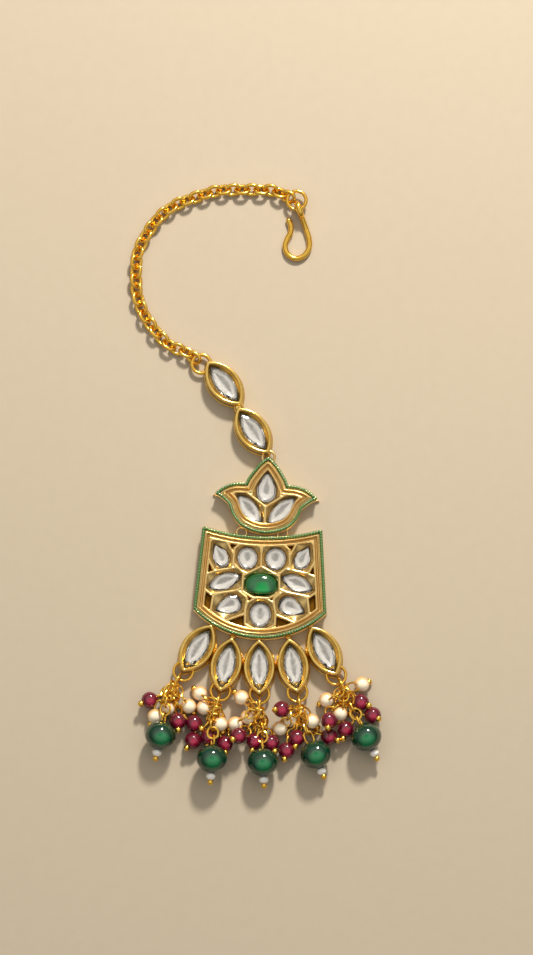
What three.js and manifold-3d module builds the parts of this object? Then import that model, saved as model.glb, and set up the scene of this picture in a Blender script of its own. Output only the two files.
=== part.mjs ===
// Maang tikka laid flat: hair hook, chain, two linked settings, lotus, plaque, drops and bead fringe.
// Millimetres, +Z up. The origin is the middle of the plaque's flat back; +Y points to the hair hook.
import * as THREE from 'three';
import Module from 'manifold-3d';
import { mergeVertices } from 'three/addons/utils/BufferGeometryUtils.js';

const wasm = await Module();
wasm.setup();

// Plaque
const PLAQUE_TOP_WIDTH = 30.0;
const PLAQUE_BOTTOM_WIDTH = 33.4;
const PLAQUE_TOP_CORNER = 13.9;
const PLAQUE_BOTTOM_CORNER = -7.35;
const PLAQUE_TOP_SAG = 2.3;
const PLAQUE_BOTTOM_BULGE = 7.0;
const PLAQUE_TURN = -1.7;
const PLAQUE_FLOOR = 2.0;

// Lotus
const LOTUS_HALF_WIDTH = 13.3;
const LOTUS_UP = 10.0;
const LOTUS_TURN = -3.4;
const LOTUS_PLACE = [1.35, 21.83];

// Metal sections shared by plaque and lotus
const FRAME_HEIGHT = 3.6;
const BASE_LIP = 0.3;
const ROPE_WIDTH = 0.85;
const RIM_STEP = 0.35;
const RIM_GAP = 0.55;
const CELL_RIDGE = 0.6;
const CELL_DROP = 0.15;
const CELL_REACH = 1.55;
const STONE_GAP = 0.2;
const STONE_DEPTH = 0.38;
const STONE_GIRDLE = 0.1;
const STONE_CROWN = 0.75;
const CABOCHON_PROUD = 0.35;

// Marquise settings of the link and of the drops
const SETTING_LENGTH = 14.0;
const SETTING_WIDTH = 8.0;
const SETTING_HEIGHT = 3.6;
const SETTING_LIP = 0.3;
const SETTING_TAPER = 0.55;
const SETTING_RIM = 0.6;
const SETTING_STONE_LENGTH = 9.8;
const SETTING_STONE_WIDTH = 4.3;
const LINK_PLACES = [[-9.17, 50.5, -37.9], [-1.95, 38.42, -34.0]];
const DROP_TIPS = [[-19.58, -22.72, 32.1], [-10.18, -27.79, 12.5], [-0.33, -28.58, -0.6],
  [9.22, -28.12, -9.2], [19.05, -23.73, -27.2]];
const SOLDER = 0.95;
const SETTING_SIDES = 12;

// Rings
const JOIN_RING = 2.35;
const JOIN_WIRE = 0.75;
const CHAIN_RING_PLACE = [-14.9, 55.7];
const HOOK_RING_PLACE = [9.0, 97.3];
const BAIL_RING = 1.55;
const BAIL_WIRE = 0.65;
const TIP_RING_LEVEL = 1.35;
const LOOP_RING = 1.25;
const LOOP_WIRE = 0.5;
const LOOP_PLACES = [-5.15, 5.05];
const REAR_RING = 2.4;
const REAR_WIRE = 0.6;
const REAR_LEVEL = 1.6;
const REAR_PAST_TIP = 1.9;
const JUMP_RING = 2.05;
const JUMP_WIRE = 0.7;
const JUMP_LEVEL = 2.45;
const JUMP_PAST_REAR = 0.8;
const CLEARANCE = 0.3;

// The pockets' floor stays above the channels of the rings
const POCKET_FLOOR = TIP_RING_LEVEL + JOIN_WIRE / 2 + CLEARANCE;
const STONE_SEAT = POCKET_FLOOR + STONE_DEPTH;

// Chain
const LINK_BITE = 0.22;
const LINK_LENGTH = 3.46;
const LINK_WIDTH = 3.1;
const LINK_WIRE = 0.65;
const LINK_TILT = 45;
const CHAIN_LEVEL = 1.3;
const CHAIN_END_SLACK = 0.05;
const CHAIN_END_RISE = 0.15;
const CHAIN_ROUTE = [[-18.3, 58.5], [-22.7, 60.4], [-26.45, 64.2], [-29.45, 68.8], [-31.2, 74.4],
  [-31.7, 78.9], [-30.7, 84.5], [-28.45, 89.1], [-25.2, 93.4], [-21.45, 96.2], [-16.45, 98.2],
  [-11.45, 99.75], [-6.45, 100.5], [-1.45, 100.5], [3.55, 99.75]];

// Hair hook
const HOOK_WIRE = 1.25;
const HOOK_EYE_LENGTH = 4.9;
const HOOK_EYE_HEIGHT = 4.1;
// Points of the hook and its eye as seen from the ring that holds it
const HOOK_EYE_PLACE = [0.6, -2.4];
const HOOK_EYE_LEVEL = 2.1;
const HOOK_ROUTE = [[2.47, -7.4], [3.2, -10.32], [3.05, -12.5], [1.62, -14.41], [-0.38, -15.12], [-2.4, -13.95],
  [-3.1, -11.77], [-2.55, -9.89], [-1.53, -8.14], [-1.4, -6.54], [-1.98, -4.91]];

// Beads
const GREEN_BEAD = 7.4;
const SEED_PEARL = 2.3;
const PEARL = 3.8;
const RED_BEAD = 4.2;
const END_BALL = 1.5;
const BEAD_SINK = 0.3;
const BALL_SINK = 0.35;
const PIN_WIRE = 0.5;
const EYE_RING = 0.92;
const EYE_WIRE = 0.48;
const PIN_PAST_EYE = 0.13;
const EYE_ANGLES = { green: 12, pearl: 62, red: -35 };
// Each pin after its eye, as it lies: two bends and its bead's middle
const GREEN_ROUTES = [
  [
    [[-23.62, -31.51, 4.33], [-24.23, -34.84, 4.18], [-25.02, -38.99, 4.26]],
  ],
  [
    [[-11.92, -37.35, 4.32], [-11.95, -40.76, 4.68], [-12.18, -44.99, 5.26]],
  ],
  [
    [[0.29, -38.35, 3.59], [0.48, -41.62, 3.84], [0.45, -45.71, 4.23]],
  ],
  [
    [[11.14, -36.88, 3.34], [12.53, -40.73, 3.67], [13.72, -43.76, 4.04]],
  ],
  [
    [[23.34, -32.60, 3.35], [24.77, -35.58, 3.52], [26.53, -39.31, 3.82]],
  ],
];
const PEARL_ROUTES = [
  [
    [[-22.16, -28.32, 3.90], [-22.56, -29.70, 3.09], [-23.30, -31.76, 1.92]],
    [[-23.63, -28.91, 4.11], [-24.87, -30.98, 3.20], [-26.42, -33.79, 1.92]],
    [[-20.53, -27.96, 4.10], [-19.20, -29.60, 3.15], [-17.95, -31.20, 1.92]],
  ],
  [
    [[-12.67, -30.42, 3.99], [-13.70, -29.44, 3.16], [-15.24, -27.96, 1.92]],
    [[-11.83, -31.79, 4.43], [-13.36, -31.66, 2.85], [-14.20, -31.59, 2.06]],
    [[-10.82, -33.13, 4.21], [-10.50, -34.48, 3.20], [-10.10, -35.80, 2.50]],
  ],
  [
    [[-1.98, -31.52, 4.14], [-3.08, -30.64, 3.36], [-4.83, -29.16, 2.75]],
    [[-2.56, -33.55, 4.41], [-4.69, -34.49, 3.42], [-6.37, -35.69, 1.92]],
    [[-1.45, -33.25, 3.89], [-2.03, -33.50, 3.23], [-3.23, -34.00, 1.92]],
  ],
  [
    [[8.24, -33.66, 4.48], [6.17, -35.51, 3.23], [4.79, -36.80, 1.92]],
    [[8.95, -33.09, 3.93], [8.48, -33.53, 3.30], [7.24, -34.60, 1.92]],
    [[10.83, -33.15, 4.16], [11.80, -34.09, 3.15], [12.79, -35.06, 2.21]],
  ],
  [
    [[19.66, -28.06, 4.26], [17.70, -29.00, 2.86], [16.40, -29.62, 1.92]],
    [[20.52, -29.56, 3.94], [20.20, -30.99, 3.12], [19.80, -33.10, 1.92]],
    [[22.16, -26.93, 4.26], [24.00, -26.17, 2.85], [25.23, -25.67, 1.92]],
  ],
];
const RUBY_ROUTES = [
  [
    [[-24.38, -28.11, 1.24], [-25.72, -28.75, 1.64], [-27.72, -29.72, 2.30]],
    [[-21.57, -29.50, 1.06], [-20.86, -32.67, 1.75], [-20.72, -35.06, 2.53]],
    [[-21.06, -30.12, 0.88], [-19.09, -33.54, 1.33], [-16.68, -35.56, 2.12]],
  ],
  [
    [[-12.95, -35.00, 1.10], [-15.18, -37.79, 1.68], [-16.91, -39.94, 2.12]],
    [[-12.10, -35.20, 1.14], [-12.49, -36.75, 1.50], [-12.90, -39.11, 2.12]],
    [[-9.83, -35.11, 0.28], [-9.08, -38.35, 1.13], [-8.94, -40.80, 2.12]],
  ],
  [
    [[-1.91, -35.98, 1.32], [-3.83, -37.62, 2.57], [-5.53, -39.05, 4.41]],
    [[-0.72, -36.18, 1.21], [-1.05, -37.76, 1.57], [-1.59, -40.12, 2.12]],
    [[0.62, -35.77, 1.10], [1.79, -38.41, 1.68], [2.58, -40.41, 2.12]],
  ],
  [
    [[8.45, -32.25, 1.55], [6.66, -32.10, 3.15], [5.17, -32.47, 4.87]],
    [[8.72, -36.37, 0.58], [7.12, -39.30, 1.00], [6.40, -42.44, 2.12]],
    [[9.74, -35.56, 1.23], [9.46, -37.06, 1.65], [9.05, -39.26, 2.38]],
    [[11.91, -36.24, 0.27], [14.05, -37.54, 1.01], [17.02, -38.97, 2.12]],
  ],
  [
    [[19.37, -30.21, 1.48], [17.43, -32.90, 3.08], [17.03, -35.26, 4.64]],
    [[21.83, -31.62, 1.02], [21.85, -34.02, 1.38], [21.11, -37.12, 2.12]],
    [[22.84, -29.14, 1.34], [23.55, -29.52, 1.68], [24.94, -30.27, 2.39]],
    [[23.16, -30.37, 0.54], [25.78, -32.41, 1.15], [27.93, -33.52, 2.12]],
  ],
];

// Colours
const GOLD = new THREE.MeshStandardMaterial({ color: 0xcf9a3c, roughness: 0.25, metalness: 1 });
const ENAMELLED = new THREE.MeshStandardMaterial({ color: 0xc39a45, roughness: 0.3, metalness: 1 });
const CLEAR = new THREE.MeshStandardMaterial({ color: 0xdcdad6, roughness: 0.05, metalness: 0.1 });
const GREEN = new THREE.MeshStandardMaterial({ color: 0x0c5a35, roughness: 0.12, metalness: 0 });
const NACRE = new THREE.MeshStandardMaterial({ color: 0xeadfce, roughness: 0.3, metalness: 0 });
const RED = new THREE.MeshStandardMaterial({ color: 0x8a1238, roughness: 0.15, metalness: 0 });

const rad = (degrees) => degrees * Math.PI / 180;
const model = new THREE.Group();

function toSolid(geometry) {
  const bare = geometry.clone();
  bare.deleteAttribute('normal');
  bare.deleteAttribute('uv');
  const merged = mergeVertices(bare, 1e-4);
  const vertProperties = new Float32Array(merged.attributes.position.array);
  const corners = [];
  for (let i = 0; i < merged.index.count; i += 3) {
    const [a, b, c] = merged.index.array.slice(i, i + 3);
    if (a !== b && b !== c && c !== a) {
      corners.push(a, b, c);
    }
  }
  const triVerts = new Uint32Array(corners);
  return new wasm.Manifold(new wasm.Mesh({ numProp: 3, vertProperties, triVerts }));
}

function toGeometry(solid) {
  const mesh = solid.getMesh();
  const geometry = new THREE.BufferGeometry();
  geometry.setAttribute('position', new THREE.BufferAttribute(new Float32Array(mesh.vertProperties), 3));
  geometry.setIndex(new THREE.BufferAttribute(new Uint32Array(mesh.triVerts), 1));
  geometry.computeVertexNormals();
  return geometry;
}

function joined(geometries) {
  let solid = toSolid(geometries[0]);
  for (const geometry of geometries.slice(1)) {
    solid = solid.add(toSolid(geometry));
  }
  return solid;
}

function piece(name, geometry, material, parent = model) {
  const mesh = new THREE.Mesh(geometry, material);
  mesh.name = name;
  parent.add(mesh);
  return mesh;
}

// A closed body through rings of points, flat at its first and last ring
function loft(rings) {
  const count = rings[0].length;
  const positions = [];
  const index = [];
  for (const ring of rings) {
    for (const point of ring) {
      positions.push(point[0], point[1], point[2]);
    }
  }
  for (let r = 0; r < rings.length - 1; r += 1) {
    for (let i = 0; i < count; i += 1) {
      const j = (i + 1) % count;
      const a = r * count + i;
      const b = r * count + j;
      index.push(a, b, b + count, a, b + count, a + count);
    }
  }
  const flat = (ring) => ring.map((point) => new THREE.Vector2(point[0], point[1]));
  for (const [a, b, c] of THREE.ShapeUtils.triangulateShape(flat(rings[0]), [])) {
    index.push(c, b, a);
  }
  const last = (rings.length - 1) * count;
  for (const [a, b, c] of THREE.ShapeUtils.triangulateShape(flat(rings[rings.length - 1]), [])) {
    index.push(last + a, last + b, last + c);
  }
  const geometry = new THREE.BufferGeometry();
  geometry.setAttribute('position', new THREE.Float32BufferAttribute(positions, 3));
  geometry.setIndex(index);
  geometry.computeVertexNormals();
  return geometry;
}

const atLevel = (outline, z) => outline.map((point) => [point[0], point[1], z]);

// Where two lines meet, each given by a point and a direction; null when they run together
function crossing(p, u, q, v) {
  const cross = u[0] * v[1] - u[1] * v[0];
  if (Math.abs(cross) < 1e-3) {
    return null;
  }
  const t = ((q[0] - p[0]) * v[1] - (q[1] - p[1]) * v[0]) / cross;
  return [p[0] + u[0] * t, p[1] + u[1] * t];
}

// Moves each side of a counter-clockwise outline inwards; sides that shrink to nothing fall away
function inset(outline, distance) {
  const count = outline.length;
  const sides = outline.map((point, i) => {
    const next = outline[(i + 1) % count];
    const length = Math.hypot(next[0] - point[0], next[1] - point[1]);
    const along = [(next[0] - point[0]) / length, (next[1] - point[1]) / length];
    const start = [point[0] - along[1] * distance, point[1] + along[0] * distance];
    return { along, start, kept: true };
  });
  const kept = (from, step) => {
    let i = (from + count) % count;
    while (!sides[i].kept) {
      i = (i + step + count) % count;
    }
    return i;
  };
  const corner = (i) => {
    const before = sides[kept(i - 1, -1)];
    const after = sides[kept(i, 1)];
    return crossing(before.start, before.along, after.start, after.along) || after.start;
  };
  let worst = 0;
  while (worst >= 0) {
    worst = -1;
    let least = -1e-6;
    for (let i = 0; i < count; i += 1) {
      if (sides[i].kept) {
        const a = corner(i);
        const b = corner(i + 1);
        const left = (b[0] - a[0]) * sides[i].along[0] + (b[1] - a[1]) * sides[i].along[1];
        if (left < least) {
          least = left;
          worst = i;
        }
      }
    }
    if (worst >= 0) {
      sides[worst].kept = false;
    }
  }
  return outline.map((point, i) => corner(i));
}

// Pointed oval with its long axis along Y, drawn inside its own edge by a distance
function lens(length, width, distance, count) {
  const a = length / 2;
  const b = width / 2;
  const radius = (a * a + b * b) / (2 * b);
  const centre = radius - b;
  const inner = radius - distance;
  const end = Math.acos(centre / inner);
  const outline = [];
  const half = count / 2;
  for (let i = 0; i < half; i += 1) {
    const t = -end + (2 * end * i) / half;
    outline.push([inner * Math.cos(t) - centre, inner * Math.sin(t)]);
  }
  for (let i = 0; i < half; i += 1) {
    const t = -end + (2 * end * i) / half;
    outline.push([centre - inner * Math.cos(t), -inner * Math.sin(t)]);
  }
  return outline;
}

function oval(length, width, distance, count) {
  const outline = [];
  for (let i = 0; i < count; i += 1) {
    const t = (2 * Math.PI * (i + 0.5)) / count;
    outline.push([(width / 2 - distance) * Math.cos(t), (length / 2 - distance) * Math.sin(t)]);
  }
  return outline;
}

// Teardrop with its point towards +Y
function pear(length, width, distance, count) {
  const outline = [];
  for (let i = 0; i < count; i += 1) {
    const t = (2 * Math.PI * i) / count;
    const swell = Math.sin(t) * Math.sin(t / 2) ** 0.8;
    outline.push([-(width / 2 - distance) * 1.2 * swell, (length / 2 - distance) * Math.cos(t)]);
  }
  return outline;
}

const STONE_SHAPES = { lens, oval, pear };

function turned(outline, degrees, place) {
  const c = Math.cos(rad(degrees));
  const s = Math.sin(rad(degrees));
  return outline.map(([x, y]) => [x * c - y * s + place[0], x * s + y * c + place[1]]);
}

// Round wire bent through points, closed at both ends
function wire(points, diameter, sides, steps) {
  const section = new THREE.Shape();
  for (let i = 0; i < sides; i += 1) {
    const t = (2 * Math.PI * i) / sides;
    const x = (diameter / 2) * Math.cos(t);
    const y = (diameter / 2) * Math.sin(t);
    if (i === 0) {
      section.moveTo(x, y);
    } else {
      section.lineTo(x, y);
    }
  }
  const path = new THREE.CatmullRomCurve3(points.map((point) => new THREE.Vector3(...point)));
  return new THREE.ExtrudeGeometry(section, { steps, bevelEnabled: false, extrudePath: path });
}

function ring(radius, diameter, sides, segments) {
  return new THREE.TorusGeometry(radius, diameter / 2, sides, segments);
}

// A ring drawn out along X so that it ends in two half rings and two straight sides
function longRing(length, width, diameter, sides, segments) {
  const geometry = ring((width - diameter) / 2, diameter, sides, segments);
  const place = geometry.attributes.position;
  const stretch = (length - width) / 2;
  for (let i = 0; i < place.count; i += 1) {
    const x = place.getX(i);
    place.setX(i, x + Math.sign(x) * stretch);
  }
  return geometry;
}

function ball(diameter, sides, rows, place) {
  return new THREE.SphereGeometry(diameter / 2, sides, rows).translate(...place);
}

// Setting of one marquise stone: lip, tapered wall, bright rim, slope and pocket in one body
function settingGeometry() {
  const count = SETTING_SIDES;
  const outline = (distance) => lens(SETTING_LENGTH, SETTING_WIDTH, distance, count);
  const pocket = lens(SETTING_STONE_LENGTH, SETTING_STONE_WIDTH, -STONE_GAP, count);
  return loft([
    atLevel(outline(0), 0),
    atLevel(outline(0), SETTING_HEIGHT * 0.14),
    atLevel(outline(SETTING_LIP), SETTING_HEIGHT * 0.24),
    atLevel(outline(SETTING_TAPER), SETTING_HEIGHT),
    atLevel(outline(SETTING_TAPER + SETTING_RIM), SETTING_HEIGHT),
    atLevel(pocket, STONE_SEAT),
    atLevel(pocket, POCKET_FLOOR),
  ]);
}

// Cut stone: flat back, girdle at the seat and a flat table framed by slanted facets
function stoneGeometry(shape, length, width, count) {
  const outline = STONE_SHAPES[shape];
  const table = outline(length, width, 0, count).map(([x, y]) => [x * 0.58, y * 0.58]);
  return loft([
    atLevel(outline(length, width, 0, count), POCKET_FLOOR + STONE_GAP),
    atLevel(outline(length, width, 0, count), STONE_SEAT + STONE_GIRDLE),
    atLevel(table, STONE_SEAT + STONE_CROWN),
  ]);
}

// Round-backed stone without facets
function cabochonGeometry(length, width, count) {
  const rise = FRAME_HEIGHT + CABOCHON_PROUD - STONE_SEAT;
  const rings = [atLevel(oval(length, width, 0, count), POCKET_FLOOR + STONE_GAP)];
  for (const [share, up] of [[1, 0], [0.9, 0.45], [0.66, 0.8], [0.3, 1]]) {
    const outline = oval(length, width, 0, count).map(([x, y]) => [x * share, y * share]);
    rings.push(atLevel(outline, STONE_SEAT + rise * up));
  }
  return loft(rings);
}

function plaqueOutline() {
  const top = PLAQUE_TOP_WIDTH / 2;
  const bottom = PLAQUE_BOTTOM_WIDTH / 2;
  const points = [];
  const topSteps = 6;
  const bottomSteps = 12;
  const topRadius = (top * top + PLAQUE_TOP_SAG ** 2) / (2 * PLAQUE_TOP_SAG);
  const bottomRadius = (bottom * bottom + PLAQUE_BOTTOM_BULGE ** 2) / (2 * PLAQUE_BOTTOM_BULGE);
  for (let i = 0; i <= topSteps; i += 1) {
    const x = top - (2 * top * i) / topSteps;
    const sag = Math.sqrt(topRadius ** 2 - x * x) - (topRadius - PLAQUE_TOP_SAG);
    points.push([x, PLAQUE_TOP_CORNER - sag]);
  }
  for (let i = 0; i <= bottomSteps; i += 1) {
    const x = -bottom + (2 * bottom * i) / bottomSteps;
    const bulge = Math.sqrt(bottomRadius ** 2 - x * x) - (bottomRadius - PLAQUE_BOTTOM_BULGE);
    points.push([x, PLAQUE_BOTTOM_CORNER - bulge]);
  }
  return points;
}

// Half outline of the lotus from its bottom middle up to its tip, as shares of half width and rise
const LOTUS_SIDE = [[0, -0.95], [0.2, -0.915], [0.35, -0.845], [0.475, -0.75], [0.565, -0.62],
  [0.64, -0.45], [0.695, -0.27], [0.8, -0.14], [0.89, -0.055], [1.0, -0.01], [0.91, 0.07],
  [0.825, 0.165], [0.7, 0.25], [0.56, 0.295], [0.4, 0.305], [0.365, 0.42], [0.29, 0.58], [0.15, 0.83],
  [0, 1]];

function lotusOutline() {
  const right = LOTUS_SIDE.map(([x, y]) => [x * LOTUS_HALF_WIDTH, y * LOTUS_UP]);
  const left = right.slice(1, -1).reverse().map(([x, y]) => [-x, y]);
  return [...right, ...left];
}

// Stones of the plaque: name, shape, place as shares of half the bottom width, size and turn
const PLAQUE_STONES = [
  ['plaque_stone_1', 'pear', -0.622, 0.396, 5.7, 3.7, 29],
  ['plaque_stone_2', 'oval', -0.211, 0.366, 5.0, 4.5, 8],
  ['plaque_stone_3', 'oval', 0.211, 0.366, 5.1, 4.7, -8],
  ['plaque_stone_4', 'pear', 0.622, 0.396, 5.7, 3.7, -27],
  ['plaque_stone_5', 'lens', -0.544, 0.0, 7.6, 3.8, -68],
  ['plaque_emerald', 'oval', 0.006, -0.024, 5.5, 7.9, 0],
  ['plaque_stone_6', 'lens', 0.544, 0.0, 7.5, 3.8, 68],
  ['plaque_stone_7', 'pear', -0.479, -0.362, 6.2, 4.5, 112],
  ['plaque_stone_8', 'oval', 0.006, -0.487, 5.7, 4.8, 0],
  ['plaque_stone_9', 'pear', 0.479, -0.362, 6.2, 4.5, -112],
];

// Stones of the lotus: name, shape, place as shares of half width and rise, size and turn
const LOTUS_STONES = [
  ['lotus_stone_1', 'pear', 0, 0.231, 6.9, 4.6, 0],
  ['lotus_stone_2', 'lens', -0.303, -0.346, 8.2, 3.9, 42],
  ['lotus_stone_3', 'lens', 0.303, -0.346, 8.4, 3.9, -42],
];

const STONE_SIDES = 12;

function stoneList(table, halfWidth, rise) {
  return table.map(([name, shape, u, v, length, width, turn]) => {
    const place = [u * halfWidth, v * rise];
    return { name, shape, place, length, width, turn };
  });
}

const stoneOutline = (stone, distance) => turned(
  STONE_SHAPES[stone.shape](stone.length, stone.width, distance, STONE_SIDES), stone.turn, stone.place);

function support(outline, centre, direction) {
  return Math.max(...outline.map(([x, y]) => (x - centre[0]) * direction[0] + (y - centre[1]) * direction[1]));
}

function clip(outline, centre, direction, limit) {
  const kept = [];
  const side = ([x, y]) => (x - centre[0]) * direction[0] + (y - centre[1]) * direction[1] - limit;
  for (let i = 0; i < outline.length; i += 1) {
    const a = outline[i];
    const b = outline[(i + 1) % outline.length];
    const da = side(a);
    const db = side(b);
    if (da <= 0) {
      kept.push(a);
    }
    if ((da < 0 && db > 0) || (da > 0 && db < 0)) {
      const t = da / (da - db);
      kept.push([a[0] + (b[0] - a[0]) * t, a[1] + (b[1] - a[1]) * t]);
    }
  }
  return kept;
}

// Cell around one stone: what is nearer to it than to its neighbours, inside the border
function cellOutline(stone, stones, border) {
  const own = stoneOutline(stone, 0);
  let outline = border;
  for (const other of stones) {
    if (other !== stone) {
      const dx = other.place[0] - stone.place[0];
      const dy = other.place[1] - stone.place[1];
      const apart = Math.hypot(dx, dy);
      const direction = [dx / apart, dy / apart];
      const mine = support(own, stone.place, direction);
      const theirs = support(stoneOutline(other, 0), other.place, [-direction[0], -direction[1]]);
      outline = clip(outline, stone.place, direction, mine + (apart - mine - theirs) / 2);
    }
  }
  const cuts = 8;
  for (let i = 0; i < cuts; i += 1) {
    const t = (2 * Math.PI * i) / cuts + rad(stone.turn);
    const direction = [Math.cos(t), Math.sin(t)];
    outline = clip(outline, stone.place, direction, support(own, stone.place, direction) + CELL_REACH);
  }
  return outline;
}

// Where a ray from the centre through a point leaves a cell
function onCell(outline, centre, point) {
  const dx = point[0] - centre[0];
  const dy = point[1] - centre[1];
  let nearest = Infinity;
  for (let i = 0; i < outline.length; i += 1) {
    const a = outline[i];
    const b = outline[(i + 1) % outline.length];
    const ex = b[0] - a[0];
    const ey = b[1] - a[1];
    const cross = dx * ey - dy * ex;
    if (Math.abs(cross) > 1e-9) {
      const t = ((a[0] - centre[0]) * ey - (a[1] - centre[1]) * ex) / cross;
      const s = ((a[0] - centre[0]) * dy - (a[1] - centre[1]) * dx) / cross;
      if (t > 0 && s >= -1e-6 && s <= 1 + 1e-6) {
        nearest = Math.min(nearest, t);
      }
    }
  }
  return [centre[0] + dx * nearest, centre[1] + dy * nearest];
}

// Rim with its rope, gap and floor, then the raised cells with a slope and a pocket for each stone
function jewelFrame(outline, stones) {
  const rope = BASE_LIP + ROPE_WIDTH;
  const step = rope + RIM_STEP;
  const inner = step + RIM_GAP;
  let frame = toSolid(loft([
    atLevel(outline, 0),
    atLevel(outline, FRAME_HEIGHT * 0.2),
    atLevel(inset(outline, BASE_LIP), FRAME_HEIGHT * 0.3),
    atLevel(inset(outline, BASE_LIP), FRAME_HEIGHT),
    atLevel(inset(outline, rope), FRAME_HEIGHT),
    atLevel(inset(outline, step), FRAME_HEIGHT * 0.94),
    atLevel(inset(outline, step + 0.1), PLAQUE_FLOOR),
  ]));
  const border = inset(outline, inner);
  for (const stone of stones) {
    const cell = cellOutline(stone, stones, border);
    const top = FRAME_HEIGHT - CELL_DROP;
    const raised = loft([
      atLevel(inset(cell, -0.03), PLAQUE_FLOOR - 0.3),
      atLevel(inset(cell, -0.03), top),
    ]);
    frame = frame.add(toSolid(raised));
  }
  for (const stone of stones) {
    const hollow = inset(cellOutline(stone, stones, border), CELL_RIDGE / 2);
    const pocket = stoneOutline(stone, -STONE_GAP);
    const mouth = pocket.map((point) => onCell(hollow, stone.place, point));
    const above = FRAME_HEIGHT + 0.05;
    frame = frame.subtract(toSolid(loft([
      atLevel(pocket, POCKET_FLOOR),
      atLevel(pocket, STONE_SEAT),
      atLevel(mouth, FRAME_HEIGHT - CELL_DROP - 0.05),
      atLevel(mouth, above),
    ])));
  }
  return frame;
}

function addStones(stones, group) {
  for (const stone of stones) {
    const geometry = stone.name === 'plaque_emerald'
      ? cabochonGeometry(stone.length, stone.width, STONE_SIDES)
      : stoneGeometry(stone.shape, stone.length, stone.width, STONE_SIDES);
    const mesh = piece(stone.name, geometry, stone.name === 'plaque_emerald' ? GREEN : CLEAR, group);
    mesh.position.set(stone.place[0], stone.place[1], 0);
    mesh.rotation.z = rad(stone.turn);
  }
}

function onPlaque(geometry) {
  return geometry.rotateZ(rad(PLAQUE_TURN));
}

function onLotus(geometry) {
  return geometry.rotateZ(rad(LOTUS_TURN)).translate(LOTUS_PLACE[0], LOTUS_PLACE[1], 0);
}

// A ring with room around its wire, cut out of the piece that it passes through
function channel(radius, diameter, place, level) {
  return toSolid(ring(radius, diameter + 2 * CLEARANCE, 6, 12).translate(place[0], place[1], level));
}

function dropAxis([x, y, degrees]) {
  const along = [-Math.sin(rad(degrees)), -Math.cos(rad(degrees))];
  return { tip: [x, y], along, degrees };
}

function addLinks() {
  const places = LINK_PLACES.map(([x, y, degrees]) => dropAxis([x, y, degrees]));
  const settings = places.map(({ tip, degrees }) => (
    settingGeometry().rotateZ(rad(-degrees)).translate(tip[0], tip[1], 0)));
  const middle = [
    (LINK_PLACES[0][0] + LINK_PLACES[1][0]) / 2,
    (LINK_PLACES[0][1] + LINK_PLACES[1][1]) / 2,
  ];
  const solder = new THREE.SphereGeometry(SOLDER * 1.5, 8, 4);
  solder.translate(middle[0], middle[1], SETTING_HEIGHT * 0.4);
  let frame = joined([...settings, solder]);
  frame = frame.subtract(channel(JOIN_RING, JOIN_WIRE, CHAIN_RING_PLACE, TIP_RING_LEVEL));
  frame = frame.subtract(channel(BAIL_RING, BAIL_WIRE, lotusTip(), TIP_RING_LEVEL));
  piece('link_frame', toGeometry(frame), GOLD);
  places.forEach(({ tip, degrees }, i) => {
    const stone = stoneGeometry('lens', SETTING_STONE_LENGTH, SETTING_STONE_WIDTH, SETTING_SIDES);
    const mesh = piece(`link_stone_${i + 1}`, stone, CLEAR);
    mesh.position.set(tip[0], tip[1], 0);
    mesh.rotation.z = rad(-degrees);
  });
}

// The ring soldered behind the lotus tip is centred between the tip and the link above it
function lotusTip() {
  const c = Math.cos(rad(LOTUS_TURN));
  const s = Math.sin(rad(LOTUS_TURN));
  const up = LOTUS_UP + 0.2;
  return [LOTUS_PLACE[0] - up * s, LOTUS_PLACE[1] + up * c];
}

function loopPlaces() {
  return LOOP_PLACES.map((x) => {
    const top = PLAQUE_TOP_WIDTH / 2;
    const radius = (top * top + PLAQUE_TOP_SAG ** 2) / (2 * PLAQUE_TOP_SAG);
    const y = PLAQUE_TOP_CORNER - Math.sqrt(radius ** 2 - x * x) + radius - PLAQUE_TOP_SAG;
    return turned([[x, y + LOOP_RING * 0.75]], PLAQUE_TURN, [0, 0])[0];
  });
}

function addLotus() {
  const stones = stoneList(LOTUS_STONES, LOTUS_HALF_WIDTH, LOTUS_UP);
  const plain = toGeometry(jewelFrame(lotusOutline(), stones));
  const tip = lotusTip();
  const bail = ring(BAIL_RING, BAIL_WIRE, 5, 12).translate(tip[0], tip[1], TIP_RING_LEVEL);
  let frame = toSolid(onLotus(plain)).add(toSolid(bail));
  for (const place of loopPlaces()) {
    frame = frame.subtract(channel(LOOP_RING, LOOP_WIRE, place, TIP_RING_LEVEL));
  }
  piece('lotus_frame', toGeometry(frame), ENAMELLED);
  const group = new THREE.Group();
  group.rotation.z = rad(LOTUS_TURN);
  group.position.set(LOTUS_PLACE[0], LOTUS_PLACE[1], 0);
  model.add(group);
  addStones(stones, group);
}

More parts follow.
